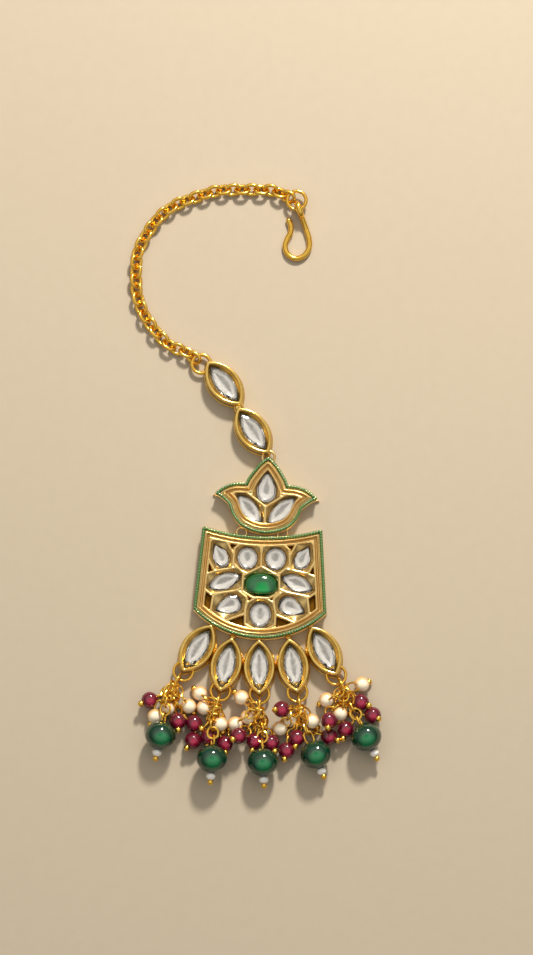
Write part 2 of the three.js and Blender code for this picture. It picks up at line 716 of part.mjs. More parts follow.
function addPendant() {
  const half = PLAQUE_BOTTOM_WIDTH / 2;
  const stones = stoneList(PLAQUE_STONES, half, half);
  const plaque = toGeometry(jewelFrame(plaqueOutline(), stones));
  let frame = toSolid(onPlaque(plaque));
  for (const place of loopPlaces()) {
    const loop = ring(LOOP_RING, LOOP_WIRE, 5, 10).translate(place[0], place[1], TIP_RING_LEVEL);
    frame = frame.add(toSolid(loop));
  }
  DROP_TIPS.forEach((place, i) => {
    const { tip, along, degrees } = dropAxis(place);
    const at = (distance) => [tip[0] + along[0] * distance, tip[1] + along[1] * distance];
    const centre = at(-SETTING_LENGTH / 2);
    const top = at(-SETTING_LENGTH - SOLDER * 0.4);
    const rear = at(REAR_PAST_TIP - REAR_RING);
    const setting = settingGeometry().rotateZ(rad(-degrees)).translate(centre[0], centre[1], 0);
    const solder = new THREE.SphereGeometry(SOLDER, 6, 4).translate(top[0], top[1], SOLDER);
    const rearRing = ring(REAR_RING, REAR_WIRE, 5, 12).translate(rear[0], rear[1], REAR_LEVEL);
    const hollow = lens(SETTING_STONE_LENGTH, SETTING_STONE_WIDTH, -STONE_GAP, SETTING_SIDES);
    const cut = loft([atLevel(hollow, POCKET_FLOOR), atLevel(hollow, FRAME_HEIGHT)]);
    cut.rotateZ(rad(-degrees)).translate(centre[0], centre[1], 0);
    frame = frame.add(toSolid(setting)).add(toSolid(solder));
    frame = frame.add(toSolid(rearRing)).subtract(toSolid(cut));
    const stone = stoneGeometry('lens', SETTING_STONE_LENGTH, SETTING_STONE_WIDTH, SETTING_SIDES);
    const mesh = piece(`drop_stone_${i + 1}`, stone, CLEAR);
    mesh.position.set(centre[0], centre[1], 0);
    mesh.rotation.z = rad(-degrees);
  });
  piece('pendant_frame', toGeometry(frame), ENAMELLED);
  const group = new THREE.Group();
  group.rotation.z = rad(PLAQUE_TURN);
  model.add(group);
  addStones(stones, group);
}

function chainLink(place, along, side) {
  const link = longRing(LINK_LENGTH, LINK_WIDTH, LINK_WIRE, 5, 10);
  link.rotateX(rad(side * LINK_TILT));
  const x = along.clone().normalize();
  const y = new THREE.Vector3(0, 0, 1).cross(x).normalize();
  const z = x.clone().cross(y);
  const matrix = new THREE.Matrix4().makeBasis(x, y, z).setPosition(place);
  return link.applyMatrix4(matrix);
}

function addChain() {
  const start = new THREE.Vector3(...CHAIN_RING_PLACE, TIP_RING_LEVEL);
  const finish = new THREE.Vector3(...HOOK_RING_PLACE, HOOK_EYE_LEVEL + CHAIN_END_RISE);
  const route = CHAIN_ROUTE.map(([x, y]) => new THREE.Vector3(x, y, CHAIN_LEVEL));
  const out = route[0].clone().sub(start).normalize();
  const back = route[route.length - 1].clone().sub(finish).normalize();
  const reach = JOIN_RING + CHAIN_END_SLACK;
  route.unshift(start.addScaledVector(out, reach));
  route.push(finish.addScaledVector(back, reach));
  const path = new THREE.CatmullRomCurve3(route);
  const pitch = LINK_LENGTH - 2 * LINK_WIRE + LINK_BITE;
  const steps = Math.round(path.getLength() / pitch);
  const links = [];
  for (let i = 0; i <= steps; i += 1) {
    const share = i / steps;
    links.push(chainLink(path.getPointAt(share), path.getTangentAt(share), i % 2 ? 1 : -1));
  }
  piece('chain', toGeometry(joined(links)), GOLD);
  const plain = (place, level) => ring(JOIN_RING, JOIN_WIRE, 5, 12).translate(...place, level);
  piece('chain_ring', plain(CHAIN_RING_PLACE, TIP_RING_LEVEL), GOLD);
  piece('hook_ring', plain(HOOK_RING_PLACE, HOOK_EYE_LEVEL), GOLD);
}

function addHook() {
  const fromRing = ([x, y]) => [HOOK_RING_PLACE[0] + x, HOOK_RING_PLACE[1] + y];
  const route = HOOK_ROUTE.map(fromRing);
  const first = new THREE.Vector2(...fromRing(HOOK_EYE_PLACE));
  const along = new THREE.Vector2(...route[0]).sub(first).normalize();
  const eye = longRing(HOOK_EYE_LENGTH, HOOK_EYE_HEIGHT, HOOK_WIRE, 6, 10);
  eye.rotateX(Math.PI / 2).rotateZ(Math.atan2(along.y, along.x));
  eye.translate(first.x, first.y, HOOK_EYE_LEVEL);
  const leave = HOOK_EYE_LENGTH / 2 - HOOK_WIRE / 2;
  const points = route.map(([x, y]) => [x, y, HOOK_WIRE / 2]);
  points.unshift([first.x + along.x * leave, first.y + along.y * leave, HOOK_EYE_LEVEL]);
  const bent = wire(points, HOOK_WIRE, 6, 18);
  const end = route[route.length - 1];
  const tip = ball(HOOK_WIRE * 1.02, 8, 6, [end[0], end[1], HOOK_WIRE / 2]);
  piece('hair_hook', toGeometry(joined([eye, bent, tip])), GOLD);
}

function eyeDirection(along, degrees) {
  const c = Math.cos(rad(degrees));
  return new THREE.Vector3(along[0] * c, along[1] * c, Math.sin(rad(degrees)));
}

function onJump(centre, along, degrees, distance) {
  const middle = new THREE.Vector3(centre[0], centre[1], JUMP_LEVEL);
  return middle.addScaledVector(eyeDirection(along, degrees), distance);
}

// Eye of a pin around the wire of the jump ring, square to it
function pinEye(centre, along, degrees) {
  const out = eyeDirection(along, degrees);
  const side = new THREE.Vector3(-along[1], along[0], 0);
  const place = onJump(centre, along, degrees, JUMP_RING);
  const matrix = new THREE.Matrix4().makeBasis(out, side, out.clone().cross(side)).setPosition(place);
  return ring(EYE_RING, EYE_WIRE, 4, 8).applyMatrix4(matrix);
}

function beadOnPin(start, route, diameter, sides, rows) {
  const centre = route[route.length - 1];
  const bent = wire([start, ...route], PIN_WIRE, 4, 3);
  return [bent, ball(diameter, sides, rows, centre)];
}

function addFringe() {
  DROP_TIPS.forEach((place, i) => {
    const { tip, along } = dropAxis(place);
    const reach = REAR_PAST_TIP + JUMP_PAST_REAR;
    const centre = [tip[0] + along[0] * reach, tip[1] + along[1] * reach];
    const jump = ring(JUMP_RING, JUMP_WIRE, 5, 10).rotateX(Math.PI / 2);
    jump.rotateZ(Math.atan2(along[1], along[0])).translate(centre[0], centre[1], JUMP_LEVEL);
    piece(`drop_ring_${i + 1}`, jump, GOLD);
    const pinStart = (angle) => (
      onJump(centre, along, angle, JUMP_RING + EYE_RING + PIN_PAST_EYE).toArray());
    const bunch = (routes, diameter, angle) => {
      const parts = [pinEye(centre, along, angle)];
      for (const route of routes) {
        parts.push(...beadOnPin(pinStart(angle), route, diameter, 10, 4));
      }
      return toGeometry(joined(parts));
    };
    piece(`pearl_bunch_${i + 1}`, bunch(PEARL_ROUTES[i], PEARL, EYE_ANGLES.pearl), NACRE);
    piece(`ruby_bunch_${i + 1}`, bunch(RUBY_ROUTES[i], RED_BEAD, EYE_ANGLES.red), RED);
    const route = GREEN_ROUTES[i][0];
    const bead = new THREE.Vector3(...route[route.length - 1]);
    const start = pinStart(EYE_ANGLES.green);
    const out = bead.clone().sub(new THREE.Vector3(...start));
    out.z = 0;
    out.normalize().setZ(-0.3).normalize();
    const under = bead.clone().addScaledVector(out, (GREEN_BEAD + SEED_PEARL) / 2 - BEAD_SINK);
    const last = under.clone().addScaledVector(out, (SEED_PEARL + END_BALL) / 2 - BALL_SINK);
    const parts = [
      pinEye(centre, along, EYE_ANGLES.green),
      ...beadOnPin(start, route, GREEN_BEAD, 12, 7),
      ball(SEED_PEARL, 10, 4, under.toArray()),
      ball(END_BALL, 6, 4, last.toArray()),
    ];
    piece(`green_drop_${i + 1}`, toGeometry(joined(parts)), GREEN);
  });
}

addHook();
addChain();
addLinks();
addLotus();
addPendant();
addFringe();

export default model;
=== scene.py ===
import math
import random

import bpy
import numpy as np
from mathutils import Matrix, Vector


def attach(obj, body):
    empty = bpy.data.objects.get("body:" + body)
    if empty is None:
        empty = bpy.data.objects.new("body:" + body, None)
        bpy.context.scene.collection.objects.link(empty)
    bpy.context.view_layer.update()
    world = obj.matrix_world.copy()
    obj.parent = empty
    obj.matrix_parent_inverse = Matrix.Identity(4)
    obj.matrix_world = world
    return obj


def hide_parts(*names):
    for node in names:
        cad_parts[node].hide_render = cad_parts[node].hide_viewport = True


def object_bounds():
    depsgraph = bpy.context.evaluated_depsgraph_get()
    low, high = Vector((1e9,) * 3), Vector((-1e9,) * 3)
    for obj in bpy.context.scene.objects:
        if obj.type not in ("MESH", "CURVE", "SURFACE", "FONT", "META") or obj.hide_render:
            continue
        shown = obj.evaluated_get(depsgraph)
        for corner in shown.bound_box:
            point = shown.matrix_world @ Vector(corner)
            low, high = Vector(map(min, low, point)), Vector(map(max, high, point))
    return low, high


bl_info = {
    "name": "Maang tikka",
    "version": (1, 0, 0),
    "blender": (4, 5, 0),
    "location": "View3D > Sidebar > Tikka",
    "description": "Builds a forehead ornament of gold-plated settings, foiled stones and a bead fringe",
    "category": "Add Mesh",
}

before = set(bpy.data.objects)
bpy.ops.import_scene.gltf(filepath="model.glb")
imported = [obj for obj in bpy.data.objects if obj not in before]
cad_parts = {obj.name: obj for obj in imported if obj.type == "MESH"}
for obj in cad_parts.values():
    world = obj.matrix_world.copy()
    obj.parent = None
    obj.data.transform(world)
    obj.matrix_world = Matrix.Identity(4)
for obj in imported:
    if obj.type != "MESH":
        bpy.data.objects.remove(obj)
CAD_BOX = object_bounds()
MM = 0.001
EDGE_GAP = 0.02  # what the model keeps free of the solid part's box
GLASS_IOR = 1.52
LIT_SIDE = Vector((0.08, -0.42, 0.9))  # side towards which light is painted into the beads, pearls and centre stone, seen from above
# The stage: the middle of the view in millimetres, the tilt in degrees, all else in metres
VIEW_CENTRE = (1.425, 26.43, 3.6)
CAMERA_AWAY = 4.0
CAMERA_TILT = 10
VIEW_HEIGHT = 0.23875
KEY_PLACE = (0.137, 0.56, 0.48)
KEY_TARGET = (0.0, 0.025, 0.0)
KEY_SIZE = 0.1
KEY_POWER = 7.1
KEY_TINT = (1.0, 0.95, 0.87)
SENSOR = 24
# Bright ceiling and darker walls: level gold shines, slopes and creases go brown
SKY_BANDS = [(0.0, 0.12), (0.35, 0.35), (0.7, 0.95), (0.94, 1.3), (0.985, 0.5)]

# --- sizes in millimetres and degrees; plates and places are the solid part's ---

PLAQUE_TOP_WIDTH = 30.0
PLAQUE_BOTTOM_WIDTH = 33.4
PLAQUE_TOP_CORNER = 13.9
PLAQUE_BOTTOM_CORNER = -7.35
PLAQUE_TOP_SAG = 2.3
PLAQUE_BOTTOM_BULGE = 7.0
PLAQUE_TURN = -1.7
LOTUS_HALF_WIDTH = 13.3
LOTUS_UP = 10.0
LOTUS_TURN = -3.4
LOTUS_PLACE = (1.35, 21.83)
# Half outline of the lotus from its bottom middle to its tip, split where it has a point
LOTUS_SIDE = [
    [(0, -0.95), (0.2, -0.915), (0.35, -0.845), (0.475, -0.75), (0.565, -0.62), (0.64, -0.45),
     (0.695, -0.27), (0.8, -0.14), (0.89, -0.055), (1.0, -0.01)],
    [(1.0, -0.01), (0.91, 0.07), (0.825, 0.165), (0.7, 0.25), (0.56, 0.295), (0.4, 0.305)],
    [(0.4, 0.305), (0.365, 0.42), (0.29, 0.58), (0.15, 0.83), (0, 1)],
]
FRAME_HEIGHT = 3.6
CELL_TOP = 3.45
CELL_RIDGE = 0.7
CELL_REACH = 1.05
RIDGE_CROWN = 0.18
RIDGE_FOOT = 0.2
CUP_LIP = 0.1  # how far the gold stands over a stone's seat at its edge
SHADE_REACH = 0.35  # how far from a stone painted shade darkens the gold
DEEP_BELOW = 3.1  # level under which painted shade darkens a pit
TRAY_UNDERSIDE = 1.1
ROPE_RADIUS = 0.39
STRAND_DEPTH = 0.14  # of that radius, between the two strands
ROPE_LEVEL = 3.18
LOTUS_ROPE_INSET = 0.34
PLAQUE_ROPE_INSET = 0.44
STONE_SHARE = 1.12  # the stones as the gold leaves them free, by their nominal size
STONE_GAP = 0.05  # between a stone and its foil bed
BACK_SHARE = 0.8  # a stone's back, by its girdle
STONE_STEPS = [(0.3, 1.25), (0.1, 1.0), (0.24, 0.78), (0.16, 0.7)]  # rise and growth from the back to the table
PIT_FLOOR = 2.0
POCKET_FLOOR = 2.025
STONE_SEAT = 2.405
FOIL_SLOPE = 0.4
BORDER = 2.35  # inset of the raised border's crest
SETTING_LENGTH = 14.8
SETTING_WIDTH = 8.5
SETTING_STONE = (10.5, 4.5)
LINK_PLACES = [(-9.17, 50.5, -37.9), (-1.95, 38.42, -34.0)]
DROP_TIPS = [(-19.58, -22.72, 32.1), (-10.18, -27.79, 12.5), (-0.33, -28.58, -0.6), (9.22, -28.12, -9.2),
             (19.05, -23.73, -27.2)]
TIP_REACH = 0.35  # how far a setting's tip reaches past the drop's tip in the solids
SOLDER = 0.95
SOLDER_LEVEL = 1.44
CHAIN_RING_PLACE = (-14.9, 55.7)
HOOK_RING_PLACE = (9.0, 97.3)
JOIN_RING = 2.35
BAIL_RING = 1.55
BAIL_WIRE = 0.65
TIP_RING_LEVEL = 1.35
LOOP_RING = 1.25
LOOP_WIRE = 0.5
LOOP_PLACES = (-5.15, 5.05)
REAR_RING = 2.4
REAR_LEVEL = 1.6
REAR_PAST_TIP = 1.9
JUMP_RING = 2.05
JUMP_LEVEL = 2.45
JUMP_PAST_TIP = 2.7
LINK_LENGTH = 4.25
LINK_WIDTH = 3.6
LINK_SPIN = 36
LINK_STEPS = 20  # points of the chain's path from one link to the next
CHAIN_LINKS = 34
LINK_PLAY = 0.05  # gap between a joining ring and the first link's middle
CHAIN_LEVEL = 1.3
CHAIN_ROUTE = [(-18.3, 58.5), (-22.7, 60.4), (-26.45, 64.2), (-29.45, 68.8), (-31.2, 74.4), (-31.7, 78.9),
               (-30.7, 84.5), (-28.45, 89.1), (-25.2, 93.4), (-21.45, 96.2), (-16.45, 98.2), (-11.45, 99.75),
               (-6.45, 100.5), (-1.45, 100.5), (3.55, 99.75)]
HOOK_EYE_PLACE = (9.6, 94.9)
HOOK_EYE = (4.9, 4.1)
HOOK_EYE_LEVEL = 2.1
HOOK_ROUTE = [(11.4, 90.1), (12.15, 87.3), (12.05, 85.2), (10.75, 83.35), (8.8, 82.7), (6.8, 83.75),
              (6.1, 85.8), (6.6, 87.6), (7.45, 89.25), (7.55, 90.8), (7.02, 92.39)]
EYE_ANGLES = {"green": 12, "pearl": 62, "red": -35}
STRING_EYE = 1.1  # radius of the ring by which strings hang
STRING_LEAD = 0.9  # how far into a string that ring reaches
STRING_PITCH = 2.1
STRING_WIDTH = 3.0
STRING_LAP = 0.2  # how far a ring reaches into the next, and the last into its bead
SEED_BALL = 1.5
ROUND = 80  # angle under which beads and ropes are shaded smooth
# Each string of small rings after its eye, as it lies: two bends and its bead's middle
GREEN_ROUTES = [
    [(-23.62, -31.51, 4.33), (-24.23, -34.84, 4.18), (-25.02, -38.99, 4.26)],
    [(-11.92, -37.35, 4.32), (-11.95, -40.76, 4.68), (-12.18, -44.99, 5.26)],
    [(0.29, -38.35, 3.59), (0.48, -41.62, 3.84), (0.45, -45.71, 4.23)],
    [(11.14, -36.88, 3.34), (12.53, -40.73, 3.67), (13.72, -43.76, 4.04)],
    [(23.34, -32.60, 3.35), (24.77, -35.58, 3.52), (26.53, -39.31, 3.82)],
]
PEARL_ROUTES = [
    [[(-22.16, -28.32, 3.90), (-22.56, -29.70, 3.09), (-23.30, -31.76, 1.92)],
     [(-23.63, -28.91, 4.11), (-24.87, -30.98, 3.20), (-26.42, -33.79, 1.92)],
     [(-20.53, -27.96, 4.10), (-19.20, -29.60, 3.15), (-17.95, -31.20, 1.92)]],
    [[(-12.67, -30.42, 3.99), (-13.70, -29.44, 3.16), (-15.24, -27.96, 1.92)],
     [(-11.83, -31.79, 4.43), (-13.36, -31.66, 2.85), (-14.20, -31.59, 2.06)],
     [(-10.82, -33.13, 4.21), (-10.50, -34.48, 3.20), (-10.10, -35.80, 2.50)]],
    [[(-1.98, -31.52, 4.14), (-3.08, -30.64, 3.36), (-4.83, -29.16, 2.75)],
     [(-2.56, -33.55, 4.41), (-4.69, -34.49, 3.42), (-6.37, -35.69, 1.92)],
     [(-1.45, -33.25, 3.89), (-2.03, -33.50, 3.23), (-3.23, -34.00, 1.92)]],
    [[(8.24, -33.66, 4.48), (6.17, -35.51, 3.23), (4.79, -36.80, 1.92)],
     [(8.95, -33.09, 3.93), (8.48, -33.53, 3.30), (7.24, -34.60, 1.92)],
     [(10.83, -33.15, 4.16), (11.80, -34.09, 3.15), (12.79, -35.06, 2.21)]],
    [[(19.66, -28.06, 4.26), (17.70, -29.00, 2.86), (16.40, -29.62, 1.92)],
     [(20.52, -29.56, 3.94), (20.20, -30.99, 3.12), (19.80, -33.10, 1.92)],
     [(22.16, -26.93, 4.26), (24.00, -26.17, 2.85), (25.23, -25.67, 1.92)]],
]
RUBY_ROUTES = [
    [[(-24.38, -28.11, 1.24), (-25.72, -28.75, 1.64), (-27.72, -29.72, 2.30)],
     [(-21.57, -29.50, 1.06), (-20.86, -32.67, 1.75), (-20.72, -35.06, 2.53)],
     [(-21.06, -30.12, 0.88), (-19.09, -33.54, 1.33), (-16.68, -35.56, 2.12)]],
    [[(-12.95, -35.00, 1.10), (-15.18, -37.79, 1.68), (-16.91, -39.94, 2.12)],
     [(-12.10, -35.20, 1.14), (-12.49, -36.75, 1.50), (-12.90, -39.11, 2.12)],
     [(-9.83, -35.11, 0.28), (-9.08, -38.35, 1.13), (-8.94, -40.80, 2.12)]],
    [[(-1.91, -35.98, 1.32), (-3.83, -37.62, 2.57), (-5.53, -39.05, 4.41)],
     [(-0.72, -36.18, 1.21), (-1.05, -37.76, 1.57), (-1.59, -40.12, 2.12)],
     [(0.62, -35.77, 1.10), (1.79, -38.41, 1.68), (2.58, -40.41, 2.12)]],
    [[(8.45, -32.25, 1.55), (6.66, -32.10, 3.15), (5.17, -32.47, 4.87)],
     [(8.72, -36.37, 0.58), (7.12, -39.30, 1.00), (6.40, -42.44, 2.12)],
     [(9.74, -35.56, 1.23), (9.46, -37.06, 1.65), (9.05, -39.26, 2.38)],
     [(11.91, -36.24, 0.27), (14.05, -37.54, 1.01), (17.02, -38.97, 2.12)]],
    [[(19.37, -30.21, 1.48), (17.43, -32.90, 3.08), (17.03, -35.26, 4.64)],
     [(21.83, -31.62, 1.02), (21.85, -34.02, 1.38), (21.11, -37.12, 2.12)],
     [(22.84, -29.14, 1.34), (23.55, -29.52, 1.68), (24.94, -30.27, 2.39)],
     [(23.16, -30.37, 0.54), (25.78, -32.41, 1.15), (27.93, -33.52, 2.12)]],
]
# Stones: node, shape, place as shares of the half width and rise, length, width, turn
PLAQUE_STONES = [
    ("plaque_stone_1", "pear", -0.622, 0.396, 5.7, 3.7, 29),
    ("plaque_stone_2", "oval", -0.211, 0.366, 5.0, 4.5, 8),
    ("plaque_stone_3", "oval", 0.211, 0.366, 5.1, 4.7, -8),
    ("plaque_stone_4", "pear", 0.622, 0.396, 5.7, 3.7, -27),
    ("plaque_stone_5", "lens", -0.544, 0.0, 7.6, 3.8, -68),
    ("plaque_emerald", "oval", 0.006, -0.024, 5.5, 7.9, 0),
    ("plaque_stone_6", "lens", 0.544, 0.0, 7.5, 3.8, 68),
    ("plaque_stone_7", "pear", -0.479, -0.362, 6.2, 4.5, 112),
    ("plaque_stone_8", "oval", 0.006, -0.487, 5.7, 4.8, 0),
    ("plaque_stone_9", "pear", 0.479, -0.362, 6.2, 4.5, -112),
]
LOTUS_STONES = [
    ("lotus_stone_1", "pear", 0, 0.231, 6.9, 4.6, 0),
    ("lotus_stone_2", "lens", -0.303, -0.346, 8.2, 3.9, 42),
    ("lotus_stone_3", "lens", 0.303, -0.346, 8.4, 3.9, -42),
]
# Section of the rim, as inset from the outline and height: lip, wall, seat of the rope, bright line, groove, border
RIM_SECTION = [
    (0, 0), (0, 0.5), (0.04, 0.62), (0.13, 0.7), (0.24, 0.72), (0.3, 0.8), (0.3, 2.62), (0.42, 2.78),
    (0.72, 2.8), (1.08, 2.86), (1.14, 3.3), (1.17, 3.5), (1.24, 3.58), (1.32, 3.6), (1.41, 3.57), (1.48, 3.46),
    (1.52, 3.1), (1.58, 2.85), (1.66, 2.75), (1.92, 2.75), (2.0, 2.85), (2.05, 3.1), (2.1, 3.29), (2.18, 3.42),
    (2.3, 3.47), (2.42, 3.44), (2.5, 3.36), (2.53, 3.2), (2.54, 1.3),
]
# Section of a marquise setting, in the same way: base, two flange lines, tapered wall, round rim
SETTING_SECTION = [
    (0, 0), (0, 0.36), (0.04, 0.47), (0.12, 0.53), (0.2, 0.55), (0.26, 0.62), (0.18, 0.74), (0.16, 0.9),
    (0.2, 1.04), (0.28, 1.12), (0.3, 1.3), (0.33, 2.4), (0.35, 3.0), (0.38, 3.25), (0.44, 3.43), (0.54, 3.54),
    (0.68, 3.6), (0.86, 3.6), (1.02, 3.55), (1.16, 3.45), (1.27, 3.3),
]


# --- small tools ---


def linear(code):
    """Linear RGB of an sRGB hex value."""
    parts = [int(code[i:i + 2], 16) / 255 for i in (1, 3, 5)]
    return tuple(c / 12.92 if c <= 0.04045 else ((c + 0.055) / 1.055) ** 2.4 for c in parts)


def deselect():
    if bpy.context.object and bpy.context.object.mode != "OBJECT":
        bpy.ops.object.mode_set(mode="OBJECT")
    bpy.ops.object.select_all(action="DESELECT")


def make_active(*objects):
    deselect()
    for obj in objects:
        obj.select_set(True)
    bpy.context.view_layer.objects.active = objects[0]


def from_arrays(name, verts, faces, kinds=None, painted_shade=None, gold="gold_plated_cast"):
    """Mesh object from vertices in millimetres and faces; kind 1 is foil, and the per-point values mark painted shade
    that darkens the gold.
    """
    mesh = bpy.data.meshes.new(name)
    mesh.from_pydata((np.asarray(verts, float) * MM).tolist(), [], [list(map(int, f)) for f in faces])
    if kinds is not None:
        for kind in (gold, "foil_silver_pressed"):
            mesh.materials.append(material(kind))
        mesh.polygons.foreach_set("material_index", np.asarray(kinds, dtype=np.int32))
    if painted_shade is not None:
        mesh.attributes.new("painted_shade", "FLOAT", "POINT").data.foreach_set("value", np.asarray(painted_shade, float))
    mesh.update()
    obj = bpy.data.objects.new(name, mesh)
    bpy.context.scene.collection.objects.link(obj)
    return obj


def join(name, objects):
    """One object at the origin out of several, with their places in its mesh."""
    for obj in objects[1:]:
        if not obj.data.materials:
            for finish in objects[0].data.materials:
                obj.data.materials.append(finish)
    make_active(*objects)
    if len(objects) > 1:
        bpy.ops.object.join()
    obj = bpy.context.object
    bpy.ops.object.transform_apply(location=True, rotation=True, scale=True)
    obj.name = name
    obj.data.name = name
    return obj


def piece(name, objects, nodes, kind="gold_plated_wire", smooth=40.0):
    """Joins objects into one piece: the solids that it stands for, finish, shading and body."""
    obj = join(name, objects)
    if not obj.data.materials:
        obj.data.materials.append(material(kind))
    if smooth:
        bpy.ops.object.shade_smooth_by_angle(angle=math.radians(smooth))
    else:
        bpy.ops.object.shade_flat()
    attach(obj, "root")
    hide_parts(*nodes)
    deselect()


def torus(place, radius, wire, rotation=(0, 0, 0), sides=14, segments=56):
    """Ring of round wire."""
    deselect()
    bpy.ops.mesh.primitive_torus_add(
        location=[v * MM for v in place], rotation=rotation, major_radius=radius * MM, minor_radius=wire / 2 * MM,
        major_segments=segments, minor_segments=sides)
    return bpy.context.object


def turned_basis(x, y, z, place):
    """Matrix that lays an object's axes along three directions, at a place in millimetres."""
    matrix = Matrix((x, y, z)).transposed().to_4x4()
    matrix.translation = Vector(place) * MM
    return matrix


def basis_along(along, spin=0.0):
    """Axes with X along a direction, turned about it by an angle."""
    x = Vector(along).normalized()
    y = Vector((0, 0, 1)).cross(x)
    y = y.normalized() if y.length > 1e-6 else Vector((0, 1, 0))
    z = x.cross(y)
    turn = Matrix.Rotation(spin, 3, x)
    return x, turn @ y, turn @ z


def oval_ring(place, along, spin, length, width, wire, sides=10, segments=28):
    """Ring drawn out along X into two half rings and two straight sides, then laid along a direction."""
    deselect()
    bpy.ops.mesh.primitive_torus_add(
        major_radius=(width - wire) / 2 * MM, minor_radius=wire / 2 * MM, major_segments=segments,
        minor_segments=sides)
    obj = bpy.context.object
    for vertex in obj.data.vertices:
        if abs(vertex.co.x) > 1e-7:
            vertex.co.x += math.copysign((length - width) / 2 * MM, vertex.co.x)
    obj.matrix_world = turned_basis(*basis_along(along, spin), place)
    return keep_inside(obj)


def keep_inside(obj):
    """Moves a piece that would reach below the surface or past the solid part back inside."""
    bpy.context.view_layer.update()
    places = np.array([obj.matrix_world @ vertex.co for vertex in obj.data.vertices])
    low, high = np.array(CAD_BOX) + EDGE_GAP * MM * np.array([[1], [-1]])
    low[2] = EDGE_GAP * MM
    step = np.maximum(low - places.min(axis=0), 0) + np.minimum(high - places.max(axis=0), 0)
    obj.matrix_world.translation += Vector(step)
    return obj


def wire_piece(path, wire):
    """Round wire along a path, closed at its ends."""
    curve = bpy.data.curves.new("wire", "CURVE")
    curve.dimensions = "3D"
    curve.bevel_depth = wire / 2 * MM
    curve.bevel_resolution = 8
    curve.use_fill_caps = True
    spline = curve.splines.new("POLY")
    spline.points.add(len(path) - 1)
    for point, place in zip(spline.points, path):
        point.co = (*(place * MM), 1)
    obj = bpy.data.objects.new("wire", curve)
    bpy.context.scene.collection.objects.link(obj)
    make_active(obj)
    bpy.ops.object.convert(target="MESH")
    return bpy.context.object


def unit(vector):
    return vector / np.linalg.norm(vector)


def smooth_path(points, count):
    """Centripetal curve through points at equal steps of its length."""
    pts = [np.array(p, float) for p in points]
    pts = [2 * pts[0] - pts[1]] + pts + [2 * pts[-1] - pts[-2]]
    fine = []
    for a, b, c, d in zip(pts, pts[1:], pts[2:], pts[3:]):
        t = [0.0]
        for p, q in ((a, b), (b, c), (c, d)):
            t.append(t[-1] + max(np.linalg.norm(q - p), 1e-9) ** 0.5)
        for u in np.linspace(t[1], t[2], 24, endpoint=False):
            ab = (t[1] - u) / (t[1] - t[0]) * a + (u - t[0]) / (t[1] - t[0]) * b
            bc = (t[2] - u) / (t[2] - t[1]) * b + (u - t[1]) / (t[2] - t[1]) * c
            cd = (t[3] - u) / (t[3] - t[2]) * c + (u - t[2]) / (t[3] - t[2]) * d
            abc = (t[2] - u) / (t[2] - t[0]) * ab + (u - t[0]) / (t[2] - t[0]) * bc
            bcd = (t[3] - u) / (t[3] - t[1]) * bc + (u - t[1]) / (t[3] - t[1]) * cd
            fine.append((t[2] - u) / (t[2] - t[1]) * abc + (u - t[1]) / (t[2] - t[1]) * bcd)
    fine.append(pts[-2])
    return even(np.array(fine), count)


def even(fine, count):
    """Points at equal steps of a path's length."""
    steps = np.r_[0, np.cumsum(np.linalg.norm(np.diff(fine, axis=0), axis=1))]
    at = np.linspace(0, steps[-1], count)
    return np.stack([np.interp(at, steps, fine[:, k]) for k in range(fine.shape[1])], axis=1)


# --- outlines ---


def lens(length, width, distance, count):
    """Two arcs that meet in points at both ends, drawn in by a distance."""
    a, b = length / 2, width / 2
    radius = (a * a + b * b) / (2 * b)
    centre = radius - b
    inner = radius - distance
    end = math.acos(centre / inner)
    half = count // 2
    t = -end + 2 * end * np.arange(half) / half
    right = np.c_[inner * np.cos(t) - centre, inner * np.sin(t)]
    return np.r_[right, -right]


def oval(length, width, distance, count):
    """Ellipse."""
    t = 2 * np.pi * (np.arange(count) + 0.5) / count
    return np.c_[(width / 2 - distance) * np.cos(t), (length / 2 - distance) * np.sin(t)]


def pear(length, width, distance, count):
    """Drop with its point up."""
    t = 2 * np.pi * np.arange(count) / count
    swell = np.sin(t) * np.abs(np.sin(t / 2)) ** 0.8
    return np.c_[-(width / 2 - distance) * 1.2 * swell, (length / 2 - distance) * np.cos(t)]


SHAPES = {"lens": lens, "oval": oval, "pear": pear}


def turned(outline, degrees, place):
    """Outline turned counter-clockwise by degrees, then moved to its place."""
    c, s = math.cos(math.radians(degrees)), math.sin(math.radians(degrees))
    return np.asarray(outline) @ np.array([[c, s], [-s, c]]) + np.array(place)


def arc(x, half, rise, corner):
    """Height at x of an arc that dips by its rise between two corners."""
    radius = (half * half + rise ** 2) / (2 * rise)
    return corner - np.sqrt(radius ** 2 - x * x) + radius - rise


def plaque_outline():
    """Fan with a dipping top edge and a rounder lower one."""
    top, bottom = PLAQUE_TOP_WIDTH / 2, PLAQUE_BOTTOM_WIDTH / 2
    x = np.linspace(top, -top, 60)
    upper = np.c_[x, arc(x, top, PLAQUE_TOP_SAG, PLAQUE_TOP_CORNER)]
    x = np.linspace(-bottom, bottom, 90)
    lower = np.c_[x, arc(x, bottom, PLAQUE_BOTTOM_BULGE, PLAQUE_BOTTOM_CORNER)]
    left = np.linspace(upper[-1], lower[0], 30)[1:-1]
    right = np.linspace(lower[-1], upper[0], 30)[1:-1]
    return np.r_[upper, left, lower, right]


